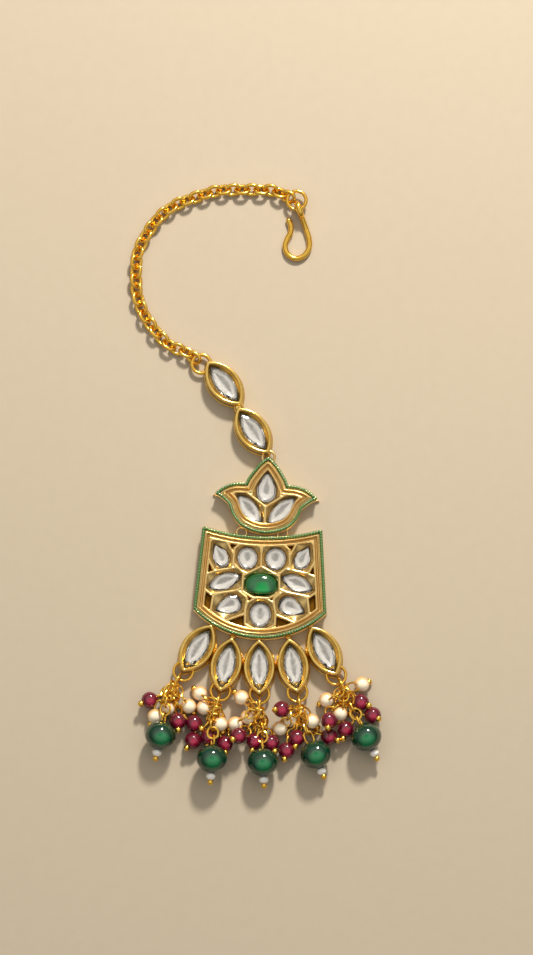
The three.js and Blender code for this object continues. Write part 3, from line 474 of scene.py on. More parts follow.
def lotus_outline():
    """Lotus of two side petals and a middle one, mirrored from its half outline."""
    side = []
    for i, run in enumerate(LOTUS_SIDE):
        points = [(x * LOTUS_HALF_WIDTH, y * LOTUS_UP) for x, y in run]
        if i == 0:
            points = [(-points[1][0], points[1][1])] + points
        fine = smooth_path(points, 400)
        if i == 0:
            fine = fine[fine[:, 0] >= 0]
            fine[0, 0] = 0
        steps = max(8, int(np.linalg.norm(np.diff(fine, axis=0), axis=1).sum() / 0.42))
        side.append(even(fine, steps)[(1 if i else 0):])
    right = np.concatenate(side)
    right[-1, 0] = 0
    left = right[1:-1][::-1] * (-1, 1)
    return np.r_[right, left]


def crossing(p, u, q, v):
    """Where the line from p along u meets the line from q along v."""
    cross = u[0] * v[1] - u[1] * v[0]
    if abs(cross) < 1e-4:
        return None
    t = ((q[0] - p[0]) * v[1] - (q[1] - p[1]) * v[0]) / cross
    return p[0] + u[0] * t, p[1] + u[1] * t


def inset(outline, distance):
    """Moves each side of a counter-clockwise outline inwards; sides that shrink to nothing fall away."""
    outline = [tuple(p) for p in outline]
    count = len(outline)
    sides = []
    for i, point in enumerate(outline):
        after = outline[(i + 1) % count]
        length = math.hypot(after[0] - point[0], after[1] - point[1])
        along = ((after[0] - point[0]) / length, (after[1] - point[1]) / length)
        sides.append([along, (point[0] - along[1] * distance, point[1] + along[0] * distance), True])

    def kept(i, step):
        i %= count
        while not sides[i][2]:
            i = (i + step) % count
        return i

    def corner(i):
        before, after = sides[kept(i - 1, -1)], sides[kept(i, 1)]
        return crossing(before[1], before[0], after[1], after[0]) or after[1]

    while True:
        worst, least = -1, -1e-6
        for i in range(count):
            if sides[i][2]:
                a, b = corner(i), corner(i + 1)
                left = (b[0] - a[0]) * sides[i][0][0] + (b[1] - a[1]) * sides[i][0][1]
                if left < least:
                    worst, least = i, left
        if worst < 0:
            return np.array([corner(i) for i in range(count)])
        sides[worst][2] = False


def clip(outline, centre, direction, limit):
    """The part of an outline that reaches no further from a centre along a direction than a limit."""
    kept = []
    side = [(p[0] - centre[0]) * direction[0] + (p[1] - centre[1]) * direction[1] - limit for p in outline]
    for i, a in enumerate(outline):
        j = (i + 1) % len(outline)
        b, da, db = outline[j], side[i], side[j]
        if da <= 0:
            kept.append(tuple(a))
        if (da < 0 < db) or (db < 0 < da):
            t = da / (da - db)
            kept.append((a[0] + (b[0] - a[0]) * t, a[1] + (b[1] - a[1]) * t))
    return kept


def support(outline, centre, direction):
    """How far an outline reaches from a centre along a direction."""
    return float(np.max((np.asarray(outline) - np.asarray(centre)) @ np.asarray(direction)))


def stone_list(table, half_width, rise):
    """The stones of a table with their places, sizes and outlines in millimetres."""
    stones = []
    for name, shape, u, v, length, width, turn in table:
        place = (u * half_width, v * rise)
        if name != "plaque_emerald":
            length, width = length * STONE_SHARE, width * STONE_SHARE
        outline = turned(SHAPES[shape](length, width, 0, 64), turn, place)
        stones.append({"name": name, "shape": shape, "place": place, "size": (length, width), "turn": turn,
                       "outline": outline})
    return stones


def cell_outline(stone, stones, border):
    """What is nearer to this stone than to its neighbours, inside the border and within reach of it."""
    outline = [tuple(p) for p in border]
    for other in stones:
        if other is not stone:
            step = np.array(other["place"]) - np.array(stone["place"])
            apart = float(np.hypot(*step))
            direction = step / apart
            mine = support(stone["outline"], stone["place"], direction)
            theirs = support(other["outline"], other["place"], -direction)
            outline = clip(outline, stone["place"], direction, mine + (apart - mine - theirs) / 2)
    for i in range(6):
        t = 2 * math.pi * i / 6 + math.radians(stone["turn"])
        direction = (math.cos(t), math.sin(t))
        reach = support(stone["outline"], stone["place"], direction) + CELL_REACH
        outline = clip(outline, stone["place"], direction, reach)
    return np.array(outline)


def inside_distance(points, outline):
    """Distance of each point from an outline, above nought inside it."""
    best = np.full(len(points), np.inf)
    odd = np.zeros(len(points), bool)
    px, py = points[:, 0], points[:, 1]
    for a, b in zip(outline, np.roll(outline, -1, axis=0)):
        ex, ey = b - a
        square = ex * ex + ey * ey
        if square < 1e-14:
            continue
        t = np.clip(((px - a[0]) * ex + (py - a[1]) * ey) / square, 0, 1)
        best = np.minimum(best, (px - a[0] - t * ex) ** 2 + (py - a[1] - t * ey) ** 2)
        if ey != 0:
            crosses = ((a[1] > py) != (b[1] > py)) & (px < (py - a[1]) * ex / ey + a[0])
            odd ^= crosses
    return np.where(odd, 1, -1) * np.sqrt(best)


# --- shapes in gold ---


def loft(rings):
    """Vertices and faces of a body through rings of equal count, closed at both ends."""
    count = len(rings[0])
    last = (len(rings) - 1) * count
    faces = []
    for start in range(0, last, count):
        for i in range(count):
            j = (i + 1) % count
            faces.append((start + i, start + j, start + count + j, start + count + i))
    faces.append(tuple(range(count - 1, -1, -1)))
    faces.append(tuple(range(last, last + count)))
    return np.concatenate(rings), faces


def level(outline, z):
    return np.c_[outline, np.full(len(outline), z)]


def rim(outline):
    """Lip, wall, bright line, groove and border around a jewel frame, with its floor."""
    verts, faces = loft([level(inset(outline, d), z) for d, z in RIM_SECTION])
    # Painted shade: the gold in the groove between the bright line and the border goes brown
    groove = np.repeat([0.35 if 1.5 < d < 2.05 and z < 3 else 0.0 for d, z in RIM_SECTION], len(outline))
    return from_arrays("rim", verts, faces, np.zeros(len(faces)), groove)


def smoothstep(t):
    t = np.clip(t, 0, 1)
    return t * t * (3 - 2 * t)


def foil_height(away, deep):
    """Foil pressed into a shallow keel under a stone, by the distance from the stone's edge."""
    return POCKET_FLOOR + 0.02 - FOIL_SLOPE * (away - away * away / (2 * deep))


def tray(outline, stones, step):
    """Cells inside the border: round ridges, slopes down to each stone, pits between, and a foil bed per stone."""
    half, foot = CELL_RIDGE / 2, CELL_TOP - RIDGE_CROWN
    border = inset(outline, BORDER - half)
    low, high = outline.min(axis=0), outline.max(axis=0)
    xs = np.arange(low[0], high[0] + step, step)
    ys = np.arange(low[1], high[1] + step, step)
    grid = np.stack(np.meshgrid(xs, ys), axis=-1).reshape(-1, 2)
    depth = inside_distance(grid, outline)

    def ridge(away):
        top = CELL_TOP - RIDGE_CROWN * np.clip(np.abs(away) / half, 0, 1) ** 2
        return top - (foot - PIT_FLOOR) * smoothstep((np.abs(away) - half) / RIDGE_FOOT)

    height = np.where(depth > BORDER, ridge(depth - BORDER), ridge((depth - BORDER) * 0.5))
    bed = np.zeros(len(grid), bool)
    best = np.full(len(grid), -np.inf)
    slope = np.full(len(grid), PIT_FLOOR)
    painted_shade_share = np.zeros(len(grid))
    for stone in stones:
        cell = cell_outline(stone, stones, border)
        near = np.all(np.abs(grid - stone["place"]) < max(stone["size"]) / 2 + CELL_REACH + 1.2, axis=1)
        c = np.full(len(grid), -np.inf)
        c[near] = inside_distance(grid[near], cell)
        s = np.zeros(len(grid))
        s[near] = -inside_distance(grid[near], stone["outline"])
        own = c > best
        best = np.where(own, c, best)
        beyond = np.clip(c - half, 0, None)
        t = np.clip(s, 0, None) / np.maximum(np.clip(s, 0, None) + beyond, 1e-6)
        cup = STONE_SEAT + CUP_LIP + (foot - STONE_SEAT - CUP_LIP) * t ** 1.1
        cup = np.where(c > half, cup, ridge(c))
        pocket = (s < 0) & near
        deep = max(float(-s[pocket].min()), 0.1) if pocket.any() else 1.0
        cup = np.where(pocket, foil_height(-s, deep), cup)
        slope = np.where(own, cup, slope)
        bed = np.where(own, pocket, bed)
        # Painted shade on the slope next to each stone, darkest at its edge
        edge = np.where(near & (s > -0.05), np.clip(1 - s / SHADE_REACH, 0, 1), 0) * (c > half)
        painted_shade_share = np.where(own, edge * 0.7, painted_shade_share)
    height = np.where(bed, slope, np.maximum(height, slope))
    # Painted shade in the pits between the cells, darker the lower they lie
    painted_shade_share = np.where(best < -half, smoothstep((DEEP_BELOW - height) / 0.9), painted_shade_share)
    keep = (depth > BORDER - 0.12).reshape(len(ys), len(xs))
    height = np.where(depth < BORDER + 0.1, np.minimum(height, CELL_TOP - 0.05), height)
    number = np.full(keep.shape, -1)
    number[keep] = np.arange(keep.sum())
    verts = np.c_[grid, height][keep.ravel()]
    quads = keep[:-1, :-1] & keep[:-1, 1:] & keep[1:, 1:] & keep[1:, :-1]
    r, c = np.nonzero(quads)
    faces = np.stack([number[r, c], number[r, c + 1], number[r + 1, c + 1], number[r + 1, c]], axis=1)
    bed = bed[keep.ravel()]
    foil = bed[faces].all(axis=1)
    used = np.unique(faces)
    back = np.full(len(verts), -1)
    back[used] = np.arange(len(used))
    verts, faces, painted_shade_share = verts[used], back[faces], painted_shade_share[keep.ravel()][used]
    # skirt and bottom that close the body
    edges = np.concatenate([faces[:, [0, 1]], faces[:, [1, 2]], faces[:, [2, 3]], faces[:, [3, 0]]])
    seen = {tuple(e) for e in edges}
    under = len(verts)
    below = verts.copy()
    below[:, 2] = TRAY_UNDERSIDE
    skirt = [(b, a, a + under, b + under) for a, b in seen if (b, a) not in seen]
    everything = np.concatenate([faces, faces[:, ::-1] + under, np.array(skirt)])
    kinds = np.concatenate([foil, np.zeros(len(faces) + len(skirt), bool)]).astype(int)
    return from_arrays("tray", np.r_[verts, below], everything, kinds, np.r_[painted_shade_share, np.zeros(len(painted_shade_share))])


def rope(outline, pitch, at):
    """Two strands twisted round each other along the rim; the strand is kept as an attribute."""
    path = inset(outline, at)
    path = np.r_[path, path[:1]]
    turns = round(np.linalg.norm(np.diff(path, axis=0), axis=1).sum() / pitch)
    count, sides = turns * 12, 16
    path = even(path, count + 1)[:-1]
    along = np.roll(path, -1, axis=0) - np.roll(path, 1, axis=0)
    along /= np.linalg.norm(along, axis=1)[:, None]
    side = np.c_[along[:, 1], -along[:, 0]]
    angle = 2 * np.pi * np.arange(sides) / sides
    phase = angle[None, :] - (2 * np.pi * turns * np.arange(count) / count)[:, None]
    radius = ROPE_RADIUS * (1 - STRAND_DEPTH + STRAND_DEPTH * np.abs(np.cos(phase)))
    flat = radius * np.cos(angle)[None, :]
    x = path[:, None, 0] + side[:, None, 0] * flat
    y = path[:, None, 1] + side[:, None, 1] * flat
    verts = np.stack([x, y, ROPE_LEVEL + radius * np.sin(angle)[None, :]], axis=-1).reshape(-1, 3)
    i = np.arange(count)[:, None] * sides
    j = (np.arange(count)[:, None] + 1) % count * sides
    k = np.arange(sides)[None, :]
    n = (k + 1) % sides
    obj = from_arrays("rope", verts, np.stack([i + k, i + n, j + n, j + k], axis=-1).reshape(-1, 4))
    strand = obj.data.attributes.new("strand", "FLOAT", "POINT")
    strand.data.foreach_set("value", np.cos(phase).ravel() * 0.5 + 0.5)
    return obj


def setting(place, degrees):
    """Marquise setting: base, flange lines, tapered wall, round rim, slope and foil bed."""
    count = 96
    rings = [level(lens(SETTING_LENGTH, SETTING_WIDTH, d, count), z) for d, z in SETTING_SECTION]
    inner, top = SETTING_SECTION[-1]
    rim_inner = lens(SETTING_LENGTH, SETTING_WIDTH, inner, count)
    stone = lens(*SETTING_STONE, -STONE_GAP, count)
    for t in (0.25, 0.5, 0.75):
        rings.append(level(rim_inner * (1 - t) + stone * t, top + (STONE_SEAT + 0.08 - top) * t - 0.1 * t * (1 - t)))
    rings.append(level(stone, STONE_SEAT + 0.05))
    walls = len(rings)
    half = SETTING_STONE[1] / 2
    for t in (0, 0.15, 0.35, 0.55, 0.75, 0.9, 0.98):
        rings.append(level(stone * (1 - t, 1 - 0.3 * t), foil_height(t * half, half)))
    verts, faces = loft(rings)
    kinds = np.zeros(len(faces), int)
    kinds[-1] = 1
    kinds[(walls - 1) * count:-2] = 1
    # Painted shade: brown in the two flange grooves and down the slope into the stone's seat
    dark = [0.7 if 0.6 < z < 0.7 or 1.1 < z < 1.4 else 0.0 for d, z in SETTING_SECTION] + [0, 0.05, 0.15, 0.4]
    dark += [0] * (len(rings) - len(dark))
    verts[:, :2] = turned(verts[:, :2], -degrees, place)
    return from_arrays("setting", verts, faces, kinds, np.repeat(dark, count), "gold_plated_polished")


def cut_stone(stands_for, shape, size, turn, place, count=14, outer_turn=0.0, outer_place=(0, 0)):
    """Cut stone: a filled circle laid on the outline, drawn down to its back and up to its table."""
    deselect()
    bpy.ops.mesh.primitive_circle_add(vertices=count, radius=MM, fill_type="NGON")
    obj = bpy.context.object
    outline = SHAPES[shape](*size, STONE_GAP, count)
    outline = turned(turned(outline, turn, place), outer_turn, outer_place)
    middle = turned([place], outer_turn, outer_place)[0]
    for vertex, point in zip(obj.data.vertices, outline):
        vertex.co = (point[0] * MM, point[1] * MM, (POCKET_FLOOR + 0.06) * MM)
    centre = Vector((middle[0] * MM, middle[1] * MM, 0))
    bpy.ops.object.mode_set(mode="EDIT")
    bpy.ops.mesh.select_all(action="SELECT")
    bpy.ops.transform.resize(value=(BACK_SHARE, BACK_SHARE, 1), center_override=centre)
    for rise, share in STONE_STEPS:
        bpy.ops.mesh.extrude_region_move(TRANSFORM_OT_translate={"value": (0, 0, rise * MM)})
        if share != 1.0:
            bpy.ops.transform.resize(value=(share, share, 1), center_override=centre)
    bpy.ops.mesh.select_all(action="SELECT")
    bpy.ops.mesh.normals_make_consistent(inside=False)
    bpy.ops.object.mode_set(mode="OBJECT")
    piece(stands_for.replace("stone", "glass"), [obj], [stands_for], "glass_cut_polished", 0)


def ball(place, diameter, axis=(0, 0, 1), squash=1.0, segments=32, rows=20, bored=0.0):
    """Bead with its hole along an axis; the ends are pushed in round the hole."""
    deselect()
    bpy.ops.mesh.primitive_uv_sphere_add(segments=segments, ring_count=rows, radius=diameter / 2 * MM)
    obj = bpy.context.object
    if bored:
        edge = math.cos(math.asin(min(0.9, bored / diameter))) * diameter / 2 * MM
        for vertex in obj.data.vertices:
            if abs(vertex.co.z) > edge:
                vertex.co.z = math.copysign(edge * 0.93, vertex.co.z)
    x, y, z = basis_along(axis)
    matrix = turned_basis(y, z, x, place)
    obj.matrix_world = matrix @ Matrix.Diagonal((1, 1, squash, 1))
    # Painted light: the side of the ball that the bead and pearl finishes paint lighter
    mark_painted_glow(obj, matrix.to_3x3())
    return keep_inside(obj)


def mark_painted_glow(obj, turn):
    """Keeps at each point of a ball how far it faces the side where light is painted into its colour."""
    lit = [max(0.0, (turn @ vertex.co).normalized().dot(LIT_SIDE)) for vertex in obj.data.vertices]
    values = obj.data.attributes.get("painted_glow") or obj.data.attributes.new("painted_glow", "FLOAT", "POINT")
    values.data.foreach_set("value", lit)


# --- materials ---


def fill(tree, made, values=None, links=None):
    """Sets values of a node's sockets and links others; a link is a node with the name of its output."""
    for key, value in (values or {}).items():
        made.inputs[key].default_value = value
    for key, (source, output) in (links or {}).items():
        tree.links.new(source.outputs[output], made.inputs[key])
    return made


def node(tree, kind, values=None, links=None, **settings):
    """Adds one node with its settings, its values and its links."""
    made = tree.nodes.new(kind)
    for key, value in settings.items():
        setattr(made, key, value)
    return fill(tree, made, values, links)


def new_material(name):
    """Empty material: its tree, its surface shader, and the piece's own place in millimetres."""
    made = bpy.data.materials.new(name)
    made.use_nodes = True
    tree = made.node_tree
    tree.nodes.clear()
    shader = node(tree, "ShaderNodeBsdfPrincipled")
    node(tree, "ShaderNodeOutputMaterial", links={"Surface": (shader, "BSDF")})
    place = node(tree, "ShaderNodeTexCoord")
    scaled = node(tree, "ShaderNodeMapping", {"Scale": (1 / MM, 1 / MM, 1 / MM)}, {"Vector": (place, "Object")})
    return tree, shader, (scaled, "Vector")


def noise(tree, scaled, size, detail=3.0, roughness=0.55):
    """Noise whose grain is about a given size in millimetres."""
    values = {"Scale": 1 / size, "Detail": detail, "Roughness": roughness}
    return node(tree, "ShaderNodeTexNoise", values, {"Vector": scaled}), "Fac"


def attribute(tree, name):
    return node(tree, "ShaderNodeAttribute", attribute_name=name), "Fac"


def mix(tree, first, second, factor):
    """Blend of two tones, each a colour or what another node gives."""
    values, links = {}, {"Factor": factor}
    for key, tone in (("A", first), ("B", second)):
        if isinstance(tone, tuple):
            links[key] = tone
        else:
            values[key] = (*tone[:3], 1.0)
    return node(tree, "ShaderNodeMix", values, links, data_type="RGBA"), "Result"


def spread(tree, source, low, high, start=0.0, end=1.0, **settings):
    """Lays what a value covers from start to end over low to high."""
    values = {"From Min": start, "From Max": end, "To Min": low, "To Max": high}
    return node(tree, "ShaderNodeMapRange", values, {"Value": source}, **settings), "Result"


def add_share(tree, source, share, base):
    """A share of one value on top of another, up to one."""
    links = {0: source, 2: base}
    return node(tree, "ShaderNodeMath", {1: share}, links, operation="MULTIPLY_ADD", use_clamp=True), "Value"


def bump(tree, source, strength, distance):
    return node(tree, "ShaderNodeBump", {"Strength": strength, "Distance": distance}, {"Height": source}), "Normal"


def gold_plate(name, light, deep, dark, grain, low, high, relief):
    """Brass under bright gold plate, cast and hand polished: warm and mirror-like, with painted shade that turns it
    brown and a little rougher in hollows, grooves and round the stones.
    """
    tree, shader, scaled = new_material(name)
    tone = mix(tree, light, deep, noise(tree, scaled, 2.2))
    # Painted shade: the per-point values mix the gold towards brown and raise its roughness
    painted_shade = attribute(tree, "painted_shade")
    fine = noise(tree, scaled, grain, 4.0)
    rough = spread(tree, fine, low, high, 0.3, 0.7)
    fill(tree, shader, {"Metallic": 1.0}, {
        "Base Color": mix(tree, tone, dark, painted_shade), "Roughness": add_share(tree, painted_shade, 0.25, rough),
        "Normal": bump(tree, fine, relief, 0.00004)})


def enamel_rope(name, colours):
    """Green vitreous enamel fired between twisted gold wire: glossy dark green crossed by thin bright ticks."""
    tree, shader, scaled = new_material(name)
    tick = spread(tree, attribute(tree, "strand"), 0.0, 1.0, 0.9, 0.97)
    green = mix(tree, colours.enamel, colours.enamel_light, noise(tree, scaled, 0.9))
    fill(tree, shader, {"Roughness": 0.18}, {"Base Color": mix(tree, green, colours.gold_light, tick),
                                             "Metallic": tick})


def silver_foil(name, colours):
    """Silver foil pressed under a stone: bright and slightly crumpled, so the stone flashes unevenly."""
    tree, shader, scaled = new_material(name)
    crumple = noise(tree, scaled, 1.3, 1.0)
    fill(tree, shader, {"Metallic": 1.0, "Roughness": 0.16}, {
        "Base Color": mix(tree, colours.foil, colours.foil_shade, crumple),
        "Normal": bump(tree, crumple, 0.25, 0.0002)})


def cut_glass(name, colours):
    """Flat-cut glass set over foil: clear and cool, with soft polish at the facet edges."""
    tree, shader, scaled = new_material(name)
    cloud = noise(tree, scaled, 1.4)
    fill(tree, shader, {"Transmission Weight": 1.0, "IOR": GLASS_IOR}, {
        "Base Color": mix(tree, colours.glass, colours.glass_shade, cloud),
        "Roughness": spread(tree, cloud, 0.01, 0.07)})


def cloudy_glass(name, deep, light, bright, transmission, grain):
    """Pressed glass with cloudy colour: wet gloss, darker heart, and painted light in the lower half."""
    tree, shader, scaled = new_material(name)
    cloud = noise(tree, scaled, grain, 4.0, 0.6)
    tone = mix(tree, deep, light, spread(tree, cloud, 0.0, 1.0, 0.2))
    # Painted light: a brighter colour laid over the side that faces the lit side
    painted_glow_share = spread(tree, attribute(tree, "painted_glow"), 0.0, 1.0, 0.76, 1.02, interpolation_type="SMOOTHSTEP")
    pits = noise(tree, scaled, 0.25, 2.0)
    fill(tree, shader, {
        "IOR": GLASS_IOR, "Transmission Weight": transmission, "Coat Weight": 0.5, "Coat Roughness": 0.12,
    }, {
        "Base Color": mix(tree, tone, bright, painted_glow_share), "Roughness": spread(tree, pits, 0.06, 0.12),
        "Normal": bump(tree, pits, 0.08, 0.00005)})


def nacre(name, deep, light):
    """Shell pearl dipped in nacre: satin cream with a soft sheen and faint clouds of tone, with painted light and
    shade: paler on the side that faces the lit side, warmer and darker away from it.
    """
    tree, shader, scaled = new_material(name)
    # Painted light and shade: the pearl's tone follows how far each point faces the lit side
    body = spread(tree, attribute(tree, "painted_glow"), 0.0, 1.0, 0.25, 0.95, interpolation_type="SMOOTHSTEP")
    depth = add_share(tree, noise(tree, scaled, 1.8), 0.25, body)
    skin = noise(tree, scaled, 0.35, 2.0)
    fill(tree, shader, {
        "Subsurface Weight": 0.15, "Subsurface Radius": (1.0, 0.62, 0.35), "Subsurface Scale": 0.0014,
        "Coat Weight": 0.8, "Coat Roughness": 0.1,
    }, {"Base Color": mix(tree, deep, light, depth), "Roughness": spread(tree, skin, 0.14, 0.28)})


def floor_paint(name, colours):
    """Matt painted board: plain and pale, with a grain too fine to draw the eye."""
    tree, shader, scaled = new_material(name)
    tone = mix(tree, colours.floor, colours.floor_shade, noise(tree, scaled, 3.0, 4.0))
    fill(tree, shader, {"Roughness": 0.75}, {"Base Color": tone})


def material(kind):
    """The finish of that kind, made once."""
    if kind not in bpy.data.materials:
        c = bpy.context.scene.tikka_colours
        make, *values = {
            "gold_plated_cast": (gold_plate, c.gold_light, c.gold_deep, c.gold_painted_shade, 0.16, 0.16, 0.34, 0.25),
            "gold_plated_polished": (gold_plate, c.setting_light, c.setting_deep, c.gold_painted_shade, 0.2, 0.12, 0.26, 0.2),
            "gold_plated_wire": (gold_plate, c.wire_light, c.wire_deep, c.gold_painted_shade, 0.3, 0.12, 0.24, 0.12),
            "enamel_fired_on_rope": (enamel_rope, c),
            "foil_silver_pressed": (silver_foil, c),
            "glass_cut_polished": (cut_glass, c),
            "glass_green_pressed": (cloudy_glass, c.green_deep, c.green_light, c.green_glow, 0.45, 2.4),
            "glass_emerald_polished": (cloudy_glass, c.emerald_deep, c.emerald_light, c.emerald_glow, 0.35, 2.4),
            "glass_red_pressed": (cloudy_glass, c.red_deep, c.red_light, c.red_glow, 0.4, 1.6),
            "nacre_dipped": (nacre, c.pearl_shade, c.pearl),
            "shell_seed_polished": (nacre, c.seed_shade, c.seed),
            "board_painted_matt": (floor_paint, c),
        }[kind]
        make(kind, *values)
    return bpy.data.materials[kind]


# --- properties ---


def length(name, description, millimetres):
    return bpy.props.FloatProperty(name=name, description=description, default=millimetres * MM, unit="LENGTH",
                                   precision=4)


def colour(name, description, code):
    return bpy.props.FloatVectorProperty(name=name, description=description, default=linear(code), size=3,
                                         subtype="COLOR", min=0, max=1)


class TikkaSizes(bpy.types.PropertyGroup):
    green_bead: length("Green bead", "Diameter of the large green beads", 7.4)
    pearl: length("Pearl", "Diameter of the cream pearls", 3.8)
    red_bead: length("Red bead", "Diameter of the red beads", 4.2)
    seed_pearl: length("Seed pearl", "Diameter of the seed pearl under each green bead", 2.5)
    end_ball: length("End ball", "Diameter of the gold balls that hold the beads", 1.7)
    hook_wire: length("Hook wire", "Thickness of the hair hook's wire", 1.4)
    join_wire: length("Joining ring wire", "Thickness of the rings at both ends of the chain", 0.92)
    link_wire: length("Chain wire", "Thickness of the chain's wire", 0.95)
    jump_wire: length("Jump ring wire", "Thickness of the jump rings under the drops", 0.7)
    rear_wire: length("Rear ring wire", "Thickness of the rings soldered behind the drops", 0.74)
    eye_wire: length("Eye wire", "Thickness of the small rings that carry the beads", 0.54)
    rope_pitch: length("Rope pitch", "Distance between two ticks of the enamelled rope", 0.72)
    cell_step: length("Cell step", "Distance between two points of the worked gold surface", 0.12)


class TikkaColours(bpy.types.PropertyGroup):
    gold_light: colour("Gold", "Bright tone of the cast plates and settings", "#FBE2A2")
    gold_deep: colour("Gold shade", "Deeper tone of the cast plates and settings", "#DDB05E")
    # Colour of the painted shade in the gold's hollows, grooves and round the stones
    gold_painted_shade: colour("Gold recess", "Brown tone of the gold that polishing can't reach", "#6E4A12")
    setting_light: colour("Setting gold", "Bright tone of the polished marquise settings", "#FFE08A")
    setting_deep: colour("Setting gold shade", "Deeper tone of the marquise settings", "#D3A440")
    wire_light: colour("Wire gold", "Bright tone of the rings and the chain", "#FFDC6C")
    wire_deep: colour("Wire gold shade", "Deeper tone of the rings and the chain", "#E4A52E")
    enamel: colour("Enamel", "Green enamel between the gold ticks", "#02441C")
    enamel_light: colour("Enamel light", "Lighter parts of the enamel", "#0E742E")
    foil: colour("Foil", "Silver foil under the stones", "#FCFBF8")
    foil_shade: colour("Foil shade", "Duller parts of the foil", "#EAE6DF")
    glass: colour("Clear stone", "Clear cut glass", "#FFFFFF")
    glass_shade: colour("Clear stone shade", "Greyer parts of the clear glass", "#F1F0ED")
    green_light: colour("Green bead", "Light clouds in the green glass", "#07593A")
    green_deep: colour("Green bead shade", "Dark heart of the green glass", "#022E1A")
    # Painted light: colour laid on the lit side of the green beads
    green_glow: colour("Green bead glow", "Where light gathers in a green bead", "#10A05E")
    emerald_light: colour("Green centre stone", "Light parts of the centre stone", "#0A8040")
    emerald_deep: colour("Green centre stone shade", "Deep parts of the centre stone", "#034A22")
    # Painted light: colour laid on the lit side of the centre stone
    emerald_glow: colour("Green centre stone glow", "Where light gathers in the centre stone", "#14B45A")
    red_light: colour("Red bead", "Light clouds in the red glass", "#960C3A")
    red_deep: colour("Red bead shade", "Dark heart of the red glass", "#56041E")
    # Painted light: colour laid on the lit side of the red beads
    red_glow: colour("Red bead glow", "Where light gathers in a red bead", "#D21D54")
    pearl: colour("Pearl", "Cream of the pearls", "#FCEED2")
    # Partly random tone, partly painted shade on the side of each pearl away from the lit side
    pearl_shade: colour("Pearl shade", "Warm tone of the pearls", "#D49C52")
    seed: colour("Seed pearl", "Grey white of the seed pearls", "#F8F6F2")
    # Partly random tone, partly painted shade on the side of each seed pearl away from the lit side
    seed_shade: colour("Seed pearl shade", "Darker tone of the seed pearls", "#BDB6AB")
    floor: colour("Floor", "Plain pale floor", "#B5A893")
    floor_shade: colour("Floor shade", "Second tone of the floor, hardly apart from the first", "#B0A38E")


def sizes():
    """The sizes of the panel in millimetres."""
    group = bpy.context.scene.tikka_sizes
    return {key: getattr(group, key) / MM for key in group.__annotations__}


# --- places ---


def drop_axis(place):
    """Tip of a drop and the direction from its top to its tip."""
    x, y, degrees = place
    angle = math.radians(degrees)
    return np.array([x, y]), np.array([-math.sin(angle), -math.cos(angle)])


def eye_place(place, kind, distance=JUMP_RING):
    """Point at a distance from the jump ring's middle where a string's eye sits, its way out and the drop's axis."""
    tip, along = drop_axis(place)
    angle = math.radians(EYE_ANGLES[kind])
    out = np.array([*(along * math.cos(angle)), math.sin(angle)])
    return np.array([*(tip + along * JUMP_PAST_TIP), JUMP_LEVEL]) + out * distance, out, along


# --- operators ---


class TIKKA_OT_hook(bpy.types.Operator):
    """Hair hook: a bent wire with a long eye and a round end"""
    bl_idname = "tikka.hook"
    bl_label = "Hair hook"

    def execute(self, context):
        wire = sizes()["hook_wire"]
        eye = np.array(HOOK_EYE_PLACE)
        along = unit(np.array(HOOK_ROUTE[0]) - eye)
        start = (*(eye + along * (HOOK_EYE[0] / 2 - wire / 2)), HOOK_EYE_LEVEL)
        path = smooth_path([start] + [(x, y, wire / 2) for x, y in HOOK_ROUTE], 140)
        path[:, 2] = np.maximum(path[:, 2], wire / 2 + 0.01)
        bent = wire_piece(path, wire)
        loop = oval_ring((*eye, HOOK_EYE_LEVEL), (*along, 0), math.pi / 2, *HOOK_EYE, wire, 20, 64)
        end = ball((*HOOK_ROUTE[-1], wire / 2), wire * 1.02, segments=24, rows=14)
        knob = ball(start, wire * 1.12, segments=24, rows=14)
        piece("hook_wire", [bent, loop, end, knob], ["hair_hook"])
        return {"FINISHED"}


class TIKKA_OT_chain(bpy.types.Operator):
    """Cable chain with the two rings that join it"""
    bl_idname = "tikka.chain"
    bl_label = "Chain"

    def execute(self, context):
        size = sizes()
        start = np.array([*CHAIN_RING_PLACE, TIP_RING_LEVEL])
        finish = np.array([*HOOK_RING_PLACE, HOOK_EYE_LEVEL + 0.15])
        route = [np.array([x, y, CHAIN_LEVEL]) for x, y in CHAIN_ROUTE]
        hang = JOIN_RING + LINK_PLAY
        route = [start + unit(route[0] - start) * hang] + route + [finish + unit(route[-1] - finish) * hang]
        path = smooth_path(route, 1 + LINK_STEPS * (CHAIN_LINKS - 1))
        links = []
        for i in range(CHAIN_LINKS):
            at = i * LINK_STEPS
            along = path[min(at + 1, len(path) - 1)] - path[max(at - 1, 0)]
            spin = math.radians(LINK_SPIN if i % 2 else -LINK_SPIN)
            links.append(oval_ring(path[at], along, spin, LINK_LENGTH, LINK_WIDTH, size["link_wire"]))
        piece("chain_links", links, ["chain"])
        for name, stands_for, place, height in (
                ("chain_end_ring", "chain_ring", CHAIN_RING_PLACE, TIP_RING_LEVEL),
                ("hook_end_ring", "hook_ring", HOOK_RING_PLACE, HOOK_EYE_LEVEL)):
            ring = torus((*place, height), JOIN_RING, size["join_wire"], sides=18, segments=64)
            piece(name, [ring], [stands_for])
        return {"FINISHED"}


